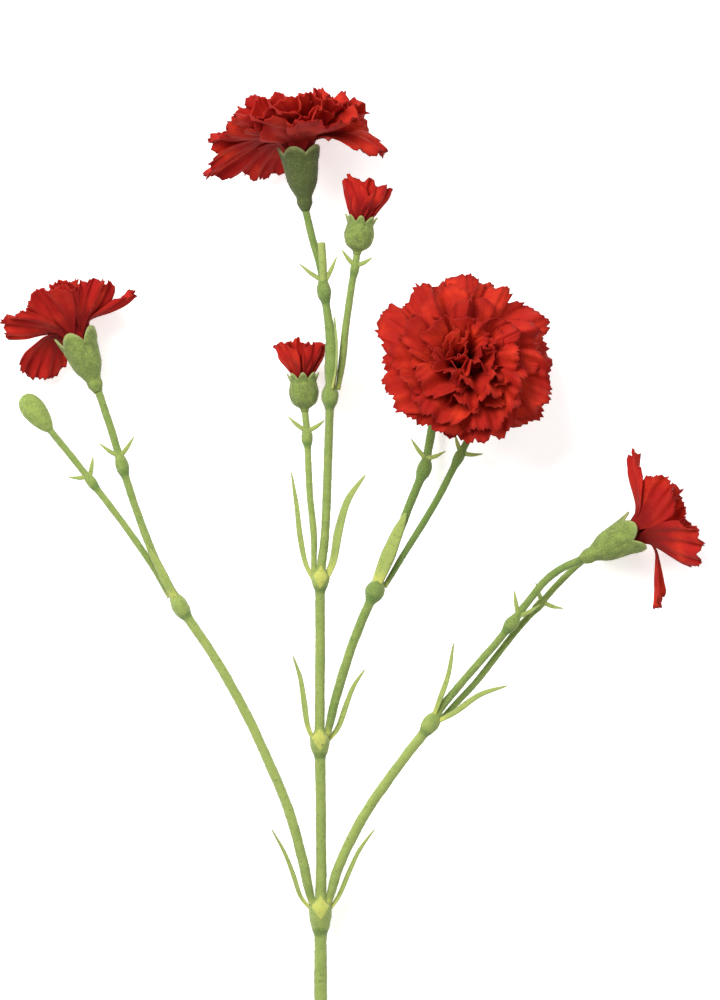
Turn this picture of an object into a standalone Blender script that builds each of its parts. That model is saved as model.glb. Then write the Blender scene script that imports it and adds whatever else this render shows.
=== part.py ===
"""A cut spray of red carnations, laid on a table with its blooms at +Y and its cut end at -Y.

One main stem forks at swollen joints, each with a pair of narrow leaves. It carries four open blooms,
two half-open buds and three closed buds. Lengths below are millimetres in the spray's own frame, where
the lowest fork is the origin of X and Y and the table is Z = 0. SPRAY_MIDDLE then moves the middle of
the whole spray's box to the origin, and the meshes are made in metres.
"""

import math
import random
from collections import namedtuple

import bmesh
import bpy
import numpy as np
from mathutils import Matrix, Vector

MM = 0.001
SPRAY_MIDDLE = (8.8, 66.7)  # middle of the spray's box in X and Y

STEM_SIDES = 8
FACET_GROWTH = 1.04  # an eight-sided stem is drawn this much over its radius
RING_STEP = 9.0  # longest gap between two rings of a stem
LEAF_THICKNESS = 0.9
LEAF_RINGS = 7
LEAF_OUTLINE = ((0.0, 0.15, 0.4, 0.75, 1.0), (0.7, 0.85, 1.0, 0.75, 0.2))  # place along it, width
BRACT_WIDTH = 1.5

PETAL_THICKNESS = 0.65
PETAL_FLOOR = 0.36  # the middle of a petal's sheet stays this far over the table
PETAL_SOFTNESS = 0.4  # how gently a sheet bends on to it

LOBES = 5
LOBE_COLUMNS = (0.0, 27.0, 45.0)  # where a lobe is cut into columns, in degrees from its tip
BLOOM_CALYX_LENGTH = 19.9
BLOOM_CALYX_RADIUS = 6.1
BUD_CALYX_RADIUS = 4.4
CALYX_WALL = 0.75  # thickness of the lobes

STEM_GREEN = (0.33, 0.47, 0.13)
CALYX_GREEN = (0.26, 0.40, 0.12)
PETAL_RED = (0.62, 0.03, 0.02)


# --------------------------------------------------------------------------- scene and materials


def clear_scene():
    for old in list(bpy.data.objects):
        bpy.data.objects.remove(old)


def material(name, colour, roughness):
    made = bpy.data.materials.new(name)
    made.use_nodes = True
    shader = made.node_tree.nodes["Principled BSDF"]
    shader.inputs["Base Color"].default_value = (*colour, 1)
    shader.inputs["Roughness"].default_value = roughness
    shader.inputs["Metallic"].default_value = 0.0
    return made


def solid(name, points, faces, finish=None):
    """A mesh object from points in millimetres of the spray's frame."""
    shift = np.array([*SPRAY_MIDDLE, 0.0])
    mesh = bpy.data.meshes.new(name)
    mesh.from_pydata(((np.asarray(points) - shift) * MM).tolist(), [], faces)
    mesh.shade_smooth()
    if finish:
        mesh.materials.append(finish)
    made = bpy.data.objects.new(name, mesh)
    bpy.context.scene.collection.objects.link(made)
    return made


def applied(body):
    """The mesh that the body's modifiers make, with the modifiers taken off."""
    bpy.context.view_layer.update()
    made = bpy.data.meshes.new_from_object(body.evaluated_get(bpy.context.evaluated_depsgraph_get()))
    body.modifiers.clear()
    return made


def keep_outer_shell(mesh):
    """Fills the pockets that crossing petals close off: only the shell with the most corners stays."""
    work = bmesh.new()
    work.from_mesh(mesh)
    unseen, shells = set(work.verts), []
    while unseen:
        shell, reached = set(), [unseen.pop()]
        while reached:
            vert = reached.pop()
            shell.add(vert)
            for edge in vert.link_edges:
                other = edge.other_vert(vert)
                if other in unseen:
                    unseen.remove(other)
                    reached.append(other)
        shells.append(shell)
    outer = max(shells, key=len)
    inner = [vert for vert in work.verts if vert not in outer]
    bmesh.ops.delete(work, geom=inner, context="VERTS")
    work.to_mesh(mesh)
    work.free()


def fuse(name, body, additions, kept=1.0):
    """Joins the additions to the body by one Boolean union, applies it, and removes what was added.

    kept is the share of the union's triangles that stay: the cuts where blades cross leave slivers."""
    group = bpy.data.collections.new(name + "_additions")
    for piece in additions:
        for owner in list(piece.users_collection):
            owner.objects.unlink(piece)
        group.objects.link(piece)
    bpy.context.scene.collection.children.link(group)
    union = body.modifiers.new("union", "BOOLEAN")
    union.operation = "UNION"
    union.operand_type = "COLLECTION"
    union.collection = group
    union.solver = "EXACT"
    joined = applied(body)
    keep_outer_shell(joined)
    body.data = joined
    if kept < 1:
        thin = body.modifiers.new("thin", "DECIMATE")
        thin.ratio = kept
        thin.use_collapse_triangulate = True
        body.data = joined = applied(body)
    body.name = name
    joined.name = name
    for piece in additions:
        bpy.data.objects.remove(piece)
    bpy.data.collections.remove(group)
    return body


# --------------------------------------------------------------------------- curves and tubes


def smooth_route(points, parts=12):
    """Catmull-Rom curve through the points, as a fine polyline."""
    points = np.asarray(points, float)
    ends = [2 * points[0] - points[1], *points, 2 * points[-1] - points[-2]]
    fine = []
    for before, start, end, after in zip(ends, ends[1:], ends[2:], ends[3:]):
        for k in range(parts):
            u = k / parts
            fine.append(
                0.5
                * (
                    2 * start
                    + (end - before) * u
                    + (2 * before - 5 * start + 4 * end - after) * u**2
                    + (3 * start - before - 3 * end + after) * u**3
                )
            )
    fine.append(points[-1])
    return np.array(fine)


def distances(line):
    return np.concatenate([[0], np.cumsum(np.linalg.norm(np.diff(line, axis=0), axis=1))])


def frames_along(line):
    """Tangent and two side directions at each point, turned as little as possible on the way."""
    tangents = np.gradient(line, axis=0)
    tangents /= np.linalg.norm(tangents, axis=1)[:, None]
    side = np.cross(tangents[0], [0.0, 0.0, 1.0])
    if np.linalg.norm(side) < 0.1:
        side = np.array([1.0, 0.0, 0.0])
    sides = []
    for tangent in tangents:
        side = side - tangent * (side @ tangent)
        side /= np.linalg.norm(side)
        sides.append(side)
    sides = np.array(sides)
    return tangents, sides, np.cross(sides, tangents)


# A swelling of a stem: at is the index of the route point in its middle, and rings holds its
# (distance from there, radius) rows.
Swelling = namedtuple("Swelling", "at rings")


def knot(at, radius, below, above, stem_radius):
    """A round joint."""
    return Swelling(
        at,
        [
            (-below, stem_radius),
            (-0.72 * below, stem_radius + 0.72 * (radius - stem_radius)),
            (0.0, radius),
            (0.72 * above, stem_radius + 0.72 * (radius - stem_radius)),
            (above, stem_radius),
        ],
    )


def fork(at, radius, length, stem_radius, next_radius):
    """A joint that widens upwards like a cup and ends flat where the branches leave it."""
    return Swelling(
        at,
        [
            (-length, stem_radius),
            (-0.6 * length, stem_radius + 0.36 * (radius - stem_radius)),
            (-0.2 * length, stem_radius + 0.9 * (radius - stem_radius)),
            (0.0, radius),
            (0.8, 0.88 * radius),
            (1.1, next_radius),
        ],
    )


def stem_rings(route, swellings, step=RING_STEP):
    """Ring centres and radii along a stem whose route rows are (x, y, z, radius)."""
    fine = smooth_route(route)
    along = distances(fine[:, :3])
    at_point = along[:: (len(fine) - 1) // (len(route) - 1)]
    stops = set(np.linspace(0, along[-1], max(2, int(along[-1] / step) + 1)))
    for swelling in swellings:
        middle = at_point[swelling.at]
        low, high = middle + swelling.rings[0][0], middle + swelling.rings[-1][0]
        stops = {s for s in stops if not low - 1.5 < s < high + 1.5 or s in (0, along[-1])}
        stops |= {middle + offset for offset, _ in swelling.rings}
    stops = np.array(sorted(s for s in stops if 0 <= s <= along[-1]))
    rows = np.array([np.interp(stops, along, fine[:, k]) for k in range(4)]).T
    for swelling in swellings:
        middle = at_point[swelling.at]
        offsets, radii = zip(*swelling.rings)
        inside = (stops >= middle + offsets[0] - 1e-6) & (stops <= middle + offsets[-1] + 1e-6)
        rows[inside, 3] = np.interp(stops[inside] - middle, offsets, radii)
    return rows


def tube(centres, widths, thicknesses, face_up, count):
    """Points and faces of a closed tube with elliptical rings. face_up turns them about their line."""
    _, sides, ups = frames_along(centres)
    points, faces = [], []
    for centre, side, up, width, thickness in zip(centres, sides, ups, widths, thicknesses):
        for k in range(count):
            angle = 2 * math.pi * (k + 0.5 * (face_up is None)) / count
            across, over = math.cos(angle) * width, math.sin(angle) * thickness
            if face_up is not None:
                turn = math.radians(face_up)
                across, over = (
                    across * math.cos(turn) - over * math.sin(turn),
                    across * math.sin(turn) + over * math.cos(turn),
                )
            points.append(centre + side * across + up * over)
    for ring in range(len(centres) - 1):
        for k in range(count):
            a, b = ring * count + k, ring * count + (k + 1) % count
            faces.append((a, b, b + count, a + count))
    last = (len(centres) - 1) * count
    faces.append(tuple(range(count))[::-1])
    faces.append(tuple(range(last, last + count)))
    return points, [face[::-1] for face in faces]


def stem_tube(name, route, swellings=(), finish=None):
    rows = stem_rings(route, swellings)
    radii = rows[:, 3] * FACET_GROWTH
    points, faces = tube(rows[:, :3], radii, radii, None, STEM_SIDES)
    return solid(name, points, faces, finish)


def leaf(route, width, roll=40.0):
    """A narrow leaf with a lens-shaped section, widest a third of the way up and pointed at its tip."""
    line = smooth_route(route, 4)
    line = line[np.round(np.linspace(0, len(line) - 1, LEAF_RINGS)).astype(int)]
    u = distances(line) / distances(line)[-1]
    outline = np.interp(u, *LEAF_OUTLINE)
    halves = outline * width / 2
    thicknesses = 0.25 * LEAF_THICKNESS * (1 + outline)
    points, faces = tube(line, halves, thicknesses, roll, 4)
    return solid("leaf", points, faces)


def bract(root, tip):
    """One of the two short pointed leaves over a joint."""
    root, tip = np.array(root, float), np.array(tip, float)
    middle = (root + tip) / 2 + np.array([0, -0.35, 0.2])
    line = np.array([root, middle, tip])
    halves = np.array([1.0, 0.85, 0.3]) * BRACT_WIDTH / 2
    points, faces = tube(line, halves, np.array([0.55, 0.5, 0.3]), 0.0, 4)
    return solid("bract", points, faces)


# --------------------------------------------------------------------------- stems with their leaves


def main_stem(finish):
    """The spray's own axis, from the cut end to the top bloom, with its three leafy forks."""
    route = [
        (0.6, -110.0, 1.97, 2.05),
        (0.9, -80.0, 4.3, 2.0),
        (0.4, -50.0, 6.4, 2.0),
        (0.1, -22.0, 8.5, 1.95),
        (0.1, -0.7, 10.0, 1.75),
        (0.3, 13.5, 11.1, 1.55),
        (0.0, 43.5, 13.3, 1.6),
        (-0.2, 50.2, 13.8, 1.5),
        (-0.1, 62.0, 14.6, 1.5),
        (0.0, 80.0, 15.9, 1.5),
        (0.1, 98.9, 17.3, 1.4),
        (1.4, 110.0, 18.1, 1.3),
        (2.2, 128.0, 19.5, 1.3),
        (3.0, 152.7, 21.3, 1.3),
        (3.3, 161.0, 21.9, 2.0),
        (3.2, 170.0, 22.5, 1.6),
        (2.0, 179.0, 23.2, 1.2),
        (1.2, 184.0, 23.6, 1.2),
        (0.2, 191.0, 24.1, 1.15),
        (-2.3, 200.0, 24.8, 1.1),
        (-4.2, 207.6, 25.5, 1.1),
    ]
    swellings = [
        fork(4, 3.55, 8.8, 1.95, 1.55),
        fork(7, 3.15, 6.2, 1.6, 1.5),
        fork(10, 2.85, 4.8, 1.5, 1.35),
        knot(13, 2.6, 3.4, 3.0, 1.35),
        knot(17, 2.15, 3.0, 3.2, 1.25),
    ]
    stem = stem_tube("main_stem", route, swellings, finish)
    leaves = [
        leaf(
            [
                (-2.9, -2.0, 9.6),
                (-6.0, 2.0, 9.3),
                (-8.2, 8.6, 10.2),
                (-10.8, 15.2, 11.2),
                (-14.6, 22.2, 12.6),
            ],
            1.9,
        ),
        leaf(
            [(2.9, -2.0, 9.8), (5.7, 2.2, 9.0), (8.6, 9.0, 9.0), (11.8, 15.8, 9.8), (16.4, 22.2, 11.4)],
            1.9,
        ),
        leaf(
            [
                (-2.2, 49.4, 14.0),
                (-3.9, 54.0, 14.2),
                (-4.9, 61.0, 14.8),
                (-6.0, 68.0, 15.6),
                (-8.2, 74.6, 16.6),
            ],
            2.4,
        ),
        leaf(
            [
                (2.2, 48.8, 13.2),
                (5.4, 53.0, 12.0),
                (7.8, 59.6, 11.9),
                (10.0, 65.2, 12.6),
                (13.4, 70.4, 14.0),
            ],
            2.2,
        ),
        leaf(
            [
                (-2.0, 97.4, 16.2),
                (-4.5, 102.8, 15.6),
                (-6.1, 111.0, 16.8),
                (-7.1, 120.0, 18.2),
                (-8.6, 129.8, 19.8),
            ],
            2.3,
        ),
        leaf(
            [
                (1.8, 98.0, 17.4),
                (4.0, 103.5, 17.9),
                (5.6, 112.5, 18.7),
                (8.4, 121.6, 19.8),
                (13.6, 129.0, 21.4),
            ],
            3.5,
        ),
        leaf(
            [(3.6, 155.0, 22.8), (4.6, 161.0, 23.4), (4.9, 168.0, 23.8), (4.3, 176.4, 24.2)],
            3.4, 75.0,
        ),
        bract((0.6, 187.4, 24.2), (-6.2, 192.4, 25.0)),
        bract((1.6, 187.4, 24.2), (5.0, 194.4, 25.0)),
    ]
    stub_route = [(0.9, 186.0, 23.9, 1.0), (0.9, 191.0, 25.0, 1.15), (0.4, 198.6, 26.4, 1.2)]
    stub = stem_tube("stub", stub_route)
    return fuse("main_stem", stem, [*leaves, stub])


def left_branch(finish):
    """From the lowest fork up to the left bloom. A sheath leaf covers the joint of its side shoot."""
    route = [
        (-3.1, 1.0, 10.5, 1.0),
        (-3.7, 5.0, 10.8, 1.4),
        (-5.4, 13.0, 11.1, 1.5),
        (-9.2, 27.0, 11.8, 1.5),
        (-16.6, 45.0, 12.8, 1.45),
        (-25.4, 63.0, 13.5, 1.45),
        (-34.4, 78.0, 14.0, 1.4),
        (-42.3, 89.6, 14.4, 1.4),
        (-47.2, 98.6, 14.7, 1.3),
        (-51.2, 107.4, 15.0, 1.2),
        (-55.0, 117.5, 15.3, 1.15),
        (-59.7, 132.0, 15.6, 1.15),
        (-63.3, 144.0, 15.8, 1.15),
        (-66.6, 153.4, 16.0, 1.15),
    ]
    swellings = [knot(7, 2.6, 4.2, 3.4, 1.4), knot(11, 2.1, 3.0, 2.8, 1.2)]
    stem = stem_tube("left_branch", route, swellings, finish)
    additions = [
        leaf(
            [(-43.4, 91.4, 15.7), (-46.4, 97.0, 16.4), (-49.0, 102.4, 16.6), (-52.4, 108.0, 16.7)],
            3.0, 15.0,
        ),
        bract((-60.4, 134.6, 16.1), (-66.5, 138.6, 16.8)),
        bract((-60.2, 134.6, 16.1), (-56.0, 140.6, 16.8)),
    ]
    return fuse("left_branch", stem, additions)


def left_bud_stem(finish):
    """Side shoot from the left branch's joint to its closed bud."""
    route = [
        (-46.0, 93.3, 12.6, 0.75),
        (-49.8, 100.4, 12.7, 0.95),
        (-54.4, 107.4, 12.9, 1.0),
        (-61.6, 117.4, 13.0, 1.0),
        (-69.0, 127.0, 13.1, 1.0),
        (-75.4, 135.2, 13.2, 1.0),
        (-81.0, 142.0, 13.2, 1.0),
    ]
    stem = stem_tube("left_bud_stem", route, [knot(4, 1.65, 2.6, 2.2, 1.0)], finish)
    additions = [
        bract((-69.8, 128.6, 13.3), (-75.8, 128.4, 13.9)),
        bract((-69.4, 128.8, 13.3), (-68.4, 134.6, 13.9)),
    ]
    return fuse("left_bud_stem", stem, additions)


def right_branch(finish):
    """From the lowest fork up to the right bloom, with a leafy joint halfway."""
    route = [
        (3.05, 1.0, 10.3, 1.0),
        (3.8, 5.0, 10.3, 1.4),
        (6.3, 12.6, 10.5, 1.5),
        (13.4, 26.6, 11.2, 1.55),
        (23.8, 41.6, 12.0, 1.5),
        (30.6, 50.4, 12.5, 1.5),
        (33.4, 54.2, 12.8, 1.4),
        (37.0, 59.6, 13.2, 1.2),
        (45.2, 69.4, 14.0, 1.15),
        (53.2, 78.6, 14.7, 1.15),
        (57.6, 84.2, 15.1, 1.15),
        (63.0, 91.4, 15.6, 1.15),
        (68.2, 97.6, 16.0, 1.15),
        (73.3, 101.2, 16.3, 1.15),
        (77.8, 103.2, 16.6, 1.15),
    ]
    swellings = [knot(6, 2.7, 3.8, 3.0, 1.4), knot(10, 2.1, 3.0, 2.6, 1.15)]
    stem = stem_tube("right_branch", route, swellings, finish)
    additions = [
        leaf([(33.8, 55.6, 13.6), (36.0, 61.4, 14.9), (38.6, 69.0, 15.8), (40.2, 78.4, 17.0)], 2.2),
        leaf(
            [(35.0, 54.6, 13.4), (40.6, 57.6, 14.6), (48.0, 62.8, 15.0), (56.4, 65.6, 15.4)],
            2.0, 20.0,
        ),
        bract((59.6, 87.0, 15.8), (58.4, 94.2, 16.6)),
        bract((60.0, 86.6, 15.8), (66.2, 90.0, 16.9)),
    ]
    return fuse("right_branch", stem, additions)


def right_bud_stem(finish):
    """Side shoot that runs under the right branch to a closed bud behind the right bloom."""
    route = [
        (36.7, 55.7, 10.9, 0.75),
        (42.0, 61.2, 11.0, 0.95),
        (47.6, 67.3, 11.2, 1.0),
        (53.5, 74.9, 11.4, 1.0),
        (59.8, 82.9, 11.3, 1.0),
        (66.1, 89.8, 10.8, 1.0),
        (71.4, 95.8, 9.4, 1.0),
        (77.2, 101.4, 7.4, 1.0),
        (81.0, 104.4, 6.4, 1.0),
    ]
    stem = stem_tube("right_bud_stem", route, [knot(5, 1.5, 2.4, 2.0, 1.0)], finish)
    additions = [
        bract((66.8, 91.0, 11.0), (65.0, 96.6, 11.4)),
        bract((67.2, 90.6, 11.0), (73.2, 88.8, 11.6)),
    ]
    return fuse("right_bud_stem", stem, additions)


def middle_branch(finish):
    """From the second fork under the large bloom, where it turns up to face its bloom to the sky."""
    route = [
        (2.75, 51.9, 13.9, 0.95),
        (3.3, 56.0, 13.8, 1.3),
        (5.5, 64.6, 13.6, 1.4),
        (9.2, 76.4, 13.3, 1.4),
        (13.6, 87.6, 12.7, 1.4),
        (16.5, 94.0, 12.3, 1.4),
        (19.4, 101.6, 11.8, 1.35),
        (23.0, 110.0, 11.0, 1.3),
        (27.6, 121.6, 9.6, 1.3),
        (31.4, 131.0, 8.2, 1.3),
        (33.0, 139.0, 6.0, 1.3),
        (34.2, 145.6, 4.2, 1.3),
        (35.2, 151.0, 3.5, 1.3),
        (36.1, 154.6, 5.0, 1.3),
        (36.8, 156.4, 8.2, 1.3),
    ]
    swellings = [knot(5, 3.0, 3.2, 3.0, 1.45), knot(9, 2.3, 3.2, 2.8, 1.3)]
    stem = stem_tube("middle_branch", route, swellings, finish)
    additions = [
        leaf(
            [(17.0, 96.2, 13.4), (19.6, 102.6, 13.6), (22.6, 110.0, 13.0), (25.8, 117.6, 12.2)],
            4.6, 10.0,
        ),
        bract((31.6, 134.2, 8.4), (27.4, 140.0, 9.0)),
        bract((32.0, 134.0, 8.4), (37.8, 136.2, 9.0)),
    ]
    return fuse("middle_branch", stem, additions)


def middle_bud_stem(finish):
    """Side shoot from the middle branch to a closed bud under the large bloom."""
    route = [
        (19.9, 96.4, 10.6, 0.75),
        (23.6, 102.4, 10.2, 0.95),
        (27.4, 108.6, 9.8, 1.0),
        (32.2, 116.4, 9.4, 1.05),
        (36.4, 123.6, 9.2, 1.05),
        (41.8, 134.4, 9.0, 1.05),
        (46.6, 143.6, 8.8, 1.05),
        (50.6, 151.4, 8.6, 1.05),
    ]
    stem = stem_tube("middle_bud_stem", route, [knot(5, 1.7, 2.8, 2.4, 1.05)], finish)
    additions = [
        bract((42.4, 135.8, 9.2), (40.6, 141.4, 9.8)),
        bract((42.8, 135.6, 9.2), (49.0, 135.4, 9.8)),
    ]
    return fuse("middle_bud_stem", stem, additions)


def centre_bud_stem(finish):
    """Side shoot from the third fork, left of the main stem."""
    route = [
        (-2.45, 100.4, 17.5, 0.8),
        (-1.85, 106.0, 17.6, 0.9),
        (-2.0, 112.5, 17.5, 1.0),
        (-3.2, 124.5, 17.0, 1.0),
        (-3.9, 140.4, 16.5, 1.0),
        (-4.6, 147.4, 16.2, 1.0),
    ]
    stem = stem_tube("centre_bud_stem", route, [knot(4, 1.8, 2.8, 2.4, 1.0)], finish)
    additions = [
        bract((-4.4, 142.4, 16.7), (-9.6, 146.6, 17.2)),
        bract((-3.6, 142.4, 16.7), (1.2, 145.4, 17.2)),
    ]
    return fuse("centre_bud_stem", stem, additions)


def upper_bud_stem(finish):
    """Side shoot from the joint under the top bloom, right of the main stem."""
    route = [
        (5.9, 155.7, 21.0, 0.75),
        (6.7, 163.5, 21.4, 1.1),
        (7.8, 174.0, 22.0, 1.1),
        (9.5, 186.0, 22.8, 1.05),
        (10.5, 191.0, 23.2, 1.05),
        (11.0, 194.6, 23.5, 1.05),
    ]
    stem = stem_tube("upper_bud_stem", route, [knot(4, 1.45, 2.2, 1.6, 1.05)], finish)
    additions = [
        bract((10.3, 192.0, 23.6), (6.5, 196.6, 24.6)),
        bract((11.0, 192.0, 23.6), (15.6, 194.2, 24.6)),
    ]
    return fuse("upper_bud_stem", stem, additions)


# --------------------------------------------------------------------------- calyxes and closed buds


def head_matrix(base, direction):
    """Places a flower head whose local +Z runs along direction, with its base at the stem's end."""
    axis = Vector(direction).normalized()
    up = Vector((0, 0, 1)) if abs(axis.z) < 0.9 else Vector((0, 1, 0))
    side = up.cross(axis).normalized()
    turned = Matrix((side, axis.cross(side), axis)).transposed().to_4x4()
    return Matrix.Translation(Vector(base)) @ turned


def placed(points, matrix):
    rotation = np.array(matrix.to_3x3())
    return np.asarray(points) @ rotation.T + np.array(matrix.translation)


def lobed_cup(name, outer, inner, rim, lobe, flare, matrix, finish):
    """A turned calyx: outer profile from the base up, a rim with five pointed lobes, and a seat inside.

    outer and inner hold (radius, height) rows. The rim's height rises by lobe at each lobe's tip, where
    it also leans out by flare."""
    turns = [360.0 / LOBES * k + offset for k in range(LOBES) for offset in LOBE_COLUMNS]
    columns = []
    for angle in map(math.radians, turns):
        tip = abs(math.cos(LOBES * angle / 2)) ** 1.5
        radius, height = rim
        edge = (radius + flare * tip, height + lobe * tip)
        inside_edge = (edge[0] - CALYX_WALL, edge[1] - 0.1)
        profile = [*outer, edge, inside_edge, *inner]
        columns.append([(r * math.cos(angle), r * math.sin(angle), h) for r, h in profile])
    rows, segments = len(columns[0]), len(columns)
    points = [p for column in columns for p in column]
    points += [(0, 0, outer[0][1]), (0, 0, inner[-1][1])]
    faces = []
    for k in range(segments):
        a, b = k * rows, (k + 1) % segments * rows
        for row in range(rows - 1):
            faces.append((a + row, b + row, b + row + 1, a + row + 1))
        faces.append((b, a, len(points) - 2))
        faces.append((a + rows - 1, b + rows - 1, len(points) - 1))
    return solid(name, placed(points, matrix), faces, finish)


def bloom_calyx(name, matrix, finish):
    outer = [(1.25, 0.3), (2.3, 2.6), (2.4, 4.6), (4.2, 8.2), (5.0, 12.0), (5.6, 15.8)]
    rim = (BLOOM_CALYX_RADIUS, 17.4)
    inner = [(4.9, 15.6), (2.2, 11.4)]
    lobe = BLOOM_CALYX_LENGTH - rim[1]
    return lobed_cup(name, outer, inner, rim, lobe, 0.5, matrix, finish)


def bud_calyx(name, matrix, finish):
    outer = [(1.15, 0.3), (1.5, 1.4), (3.5, 2.9), (4.4, 5.4), (BUD_CALYX_RADIUS, 7.2), (4.0, 9.6)]
    rim = (4.0, 10.4)
    inner = [(3.1, 9.4), (1.3, 7.2)]
    return lobed_cup(name, outer, inner, rim, 1.6, 0.7, matrix, finish)


def closed_bud(name, base, direction, finish):
    """A shut green bud, fuller towards its blunt tip."""
    profile = [(1.05, 0.3), (1.9, 1.6), (2.9, 4.0), (3.55, 7.2), (3.6, 9.2), (3.1, 11.4), (1.9, 13.0)]
    segments, tip = 12, 13.6
    points = []
    for k in range(segments):
        angle = 2 * math.pi * k / segments
        points += [(r * math.cos(angle), r * math.sin(angle), h) for r, h in profile]
    points += [(0, 0, profile[0][1]), (0, 0, tip)]
    rows, faces = len(profile), []
    for k in range(segments):
        a, b = k * rows, (k + 1) % segments * rows
        faces += [(a + row, b + row, b + row + 1, a + row + 1) for row in range(rows - 1)]
        faces.append((b, a, len(points) - 2))
        faces.append((a + rows - 1, b + rows - 1, len(points) - 1))
    return solid(name, placed(points, head_matrix(base, direction)), faces, finish)


# --------------------------------------------------------------------------- petals

Petal = namedtuple(
    "Petal", "azimuth ring rise length half lean curl cup ruffle waves phase twist bend lobes oval cells"
)
# azimuth: place round the axis in degrees; ring, rise: radius and height of the root in the head;
# length, half: flat length and half width; lean: angle of the limb from the axis in degrees; curl: what
# the tip adds to it; cup: how far the sides stand in, as a share of half; ruffle, waves, phase: depth,
# count and start of the folds; twist: turn of the limb about its rib in degrees; bend: how far the tip
# swings sideways; lobes: height that the limb keeps over the calyx's lobes; oval: 0 for a fan-shaped
# limb, 1 for an oval one; cells: how many columns and rows the blade has

BASE_LEAN = 8.0  # lean of every petal's claw
CLAW = 0.9  # half the width of the claw
SEAT_REACH = 4.6  # radius past which a petal has to clear the calyx's lobes
SEAT_BLEND = 0.8  # width over which it lifts to them
LOBE_REACH = 7.0  # radius past which a bloom's petals may hang below the lobes
LOBE_FALL = 2.6  # how steeply they may
LOBE_SOFTNESS = 0.5  # how gently a petal bends over the lobes
BLOOM_LOBES = 21.3
BUD_LOBES = 0.0
LIMB_START = 0.42  # share of the length where the claw's bend ends
ROW_PLACES = [0, 0.2, 0.42, 0.72, 1]  # where a blade's rows fall along it: closer together in the bend
NOTCH = 0.05  # depth of the teeth, as a share of the length
RUFFLE_SHARE = 0.5  # how much of a petal's folds its solid holds
PETALS_KEPT = 0.56  # share of a joined bloom's triangles that stays
OVERLAP_TWIST = 16.0  # each petal of a ring lies with one side over its neighbour


def margin(petal, t, teeth, notch):
    """Length of the petal at t across it, -1 to 1, as a share: a rounded edge cut into teeth."""
    edge = 1 - 0.15 * t**2 - 0.13 * t**4
    edge = edge + petal.oval * (0.4 + 0.6 * np.sqrt(1 - t**2) - edge)
    edge = edge + 0.03 * np.sin(3.1 * t + petal.phase) * (1 - t**2)
    saw = 2 * np.abs((t * teeth / 2 + 0.25 * math.sin(petal.phase)) % 1 - 0.5)
    return edge - notch * (1 - saw)


def petal_sheet(petal, across, along, teeth):
    """Middle of the petal's sheet, as a grid of points in the flower head's frame."""
    s = np.interp(np.linspace(0, 1, along + 1), [0, 0.25, 0.5, 0.75, 1], ROW_PLACES)[:, None]
    t = np.linspace(-1, 1, across + 1)[None, :]
    whole = margin(petal, t, teeth, 0.0)
    reach = s * (whole + (margin(petal, t, teeth, NOTCH) - whole) * s**6)
    fan = np.clip((reach - 0.08) / 0.84, 0, 1)
    fold = np.clip((reach - 0.2) / 0.8, 0, 1)
    x = (CLAW + (petal.half - CLAW) * np.sin(fan * math.pi / 2) ** (0.9 - 0.5 * petal.oval)) * t

    fine = np.linspace(0, 1.15, 116)
    bent = np.clip(fine / LIMB_START, 0, 1)
    lean = BASE_LEAN + (petal.lean - BASE_LEAN) * bent**2 * (3 - 2 * bent)
    lean = np.radians(lean + petal.curl * np.clip(fine - 0.5, 0, 1) / 0.5)
    step = petal.length * (fine[1] - fine[0])
    out = petal.ring + step * np.concatenate([[0], np.cumsum(np.sin(lean))[:-1]])
    up = petal.rise + step * np.concatenate([[0], np.cumsum(np.cos(lean))[:-1]])
    out_at, up_at, lean_at = (np.interp(reach, fine, row) for row in (out, up, lean))

    waves = np.sin(math.pi * petal.waves * t + petal.phase + 0.8 * fold)
    lift = petal.ruffle * fold**1.3 * waves
    lift = lift + petal.cup * petal.half * t**2 * fold
    turn = math.radians(petal.twist) * np.clip(reach / 0.6, 0, 1)
    x, lift = x * np.cos(turn) - lift * np.sin(turn), x * np.sin(turn) + lift * np.cos(turn)
    x = x + petal.bend * fold**2

    radial = out_at - np.cos(lean_at) * lift
    axial = up_at + np.sin(lean_at) * lift
    spread = np.hypot(radial, x)
    lowest = petal.lobes - LOBE_FALL * np.maximum(spread - LOBE_REACH, 0)
    above = axial - lowest
    lifted = lowest + 0.5 * (above + np.sqrt(above**2 + LOBE_SOFTNESS**2))
    axial = axial + (lifted - axial) * np.clip((spread - SEAT_REACH) / SEAT_BLEND, 0, 1)

    place = math.radians(petal.azimuth)
    east = radial * math.cos(place) - x * math.sin(place)
    north = radial * math.sin(place) + x * math.cos(place)
    return np.stack([east, north, axial], axis=-1)


def rest_on_table(points):
    """A sheet that would sink into the table bends to lie on it."""
    over = points[..., 2] - PETAL_FLOOR
    bent = PETAL_FLOOR + 0.5 * (over + np.sqrt(over**2 + PETAL_SOFTNESS**2))
    settled = points.copy()
    settled[..., 2] = np.where(over > 6 * PETAL_SOFTNESS, points[..., 2], bent)
    return settled


def sheet_normals(grid):
    normals = np.cross(np.gradient(grid, axis=0), np.gradient(grid, axis=1))
    return normals / np.linalg.norm(normals, axis=-1)[..., None]


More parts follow.
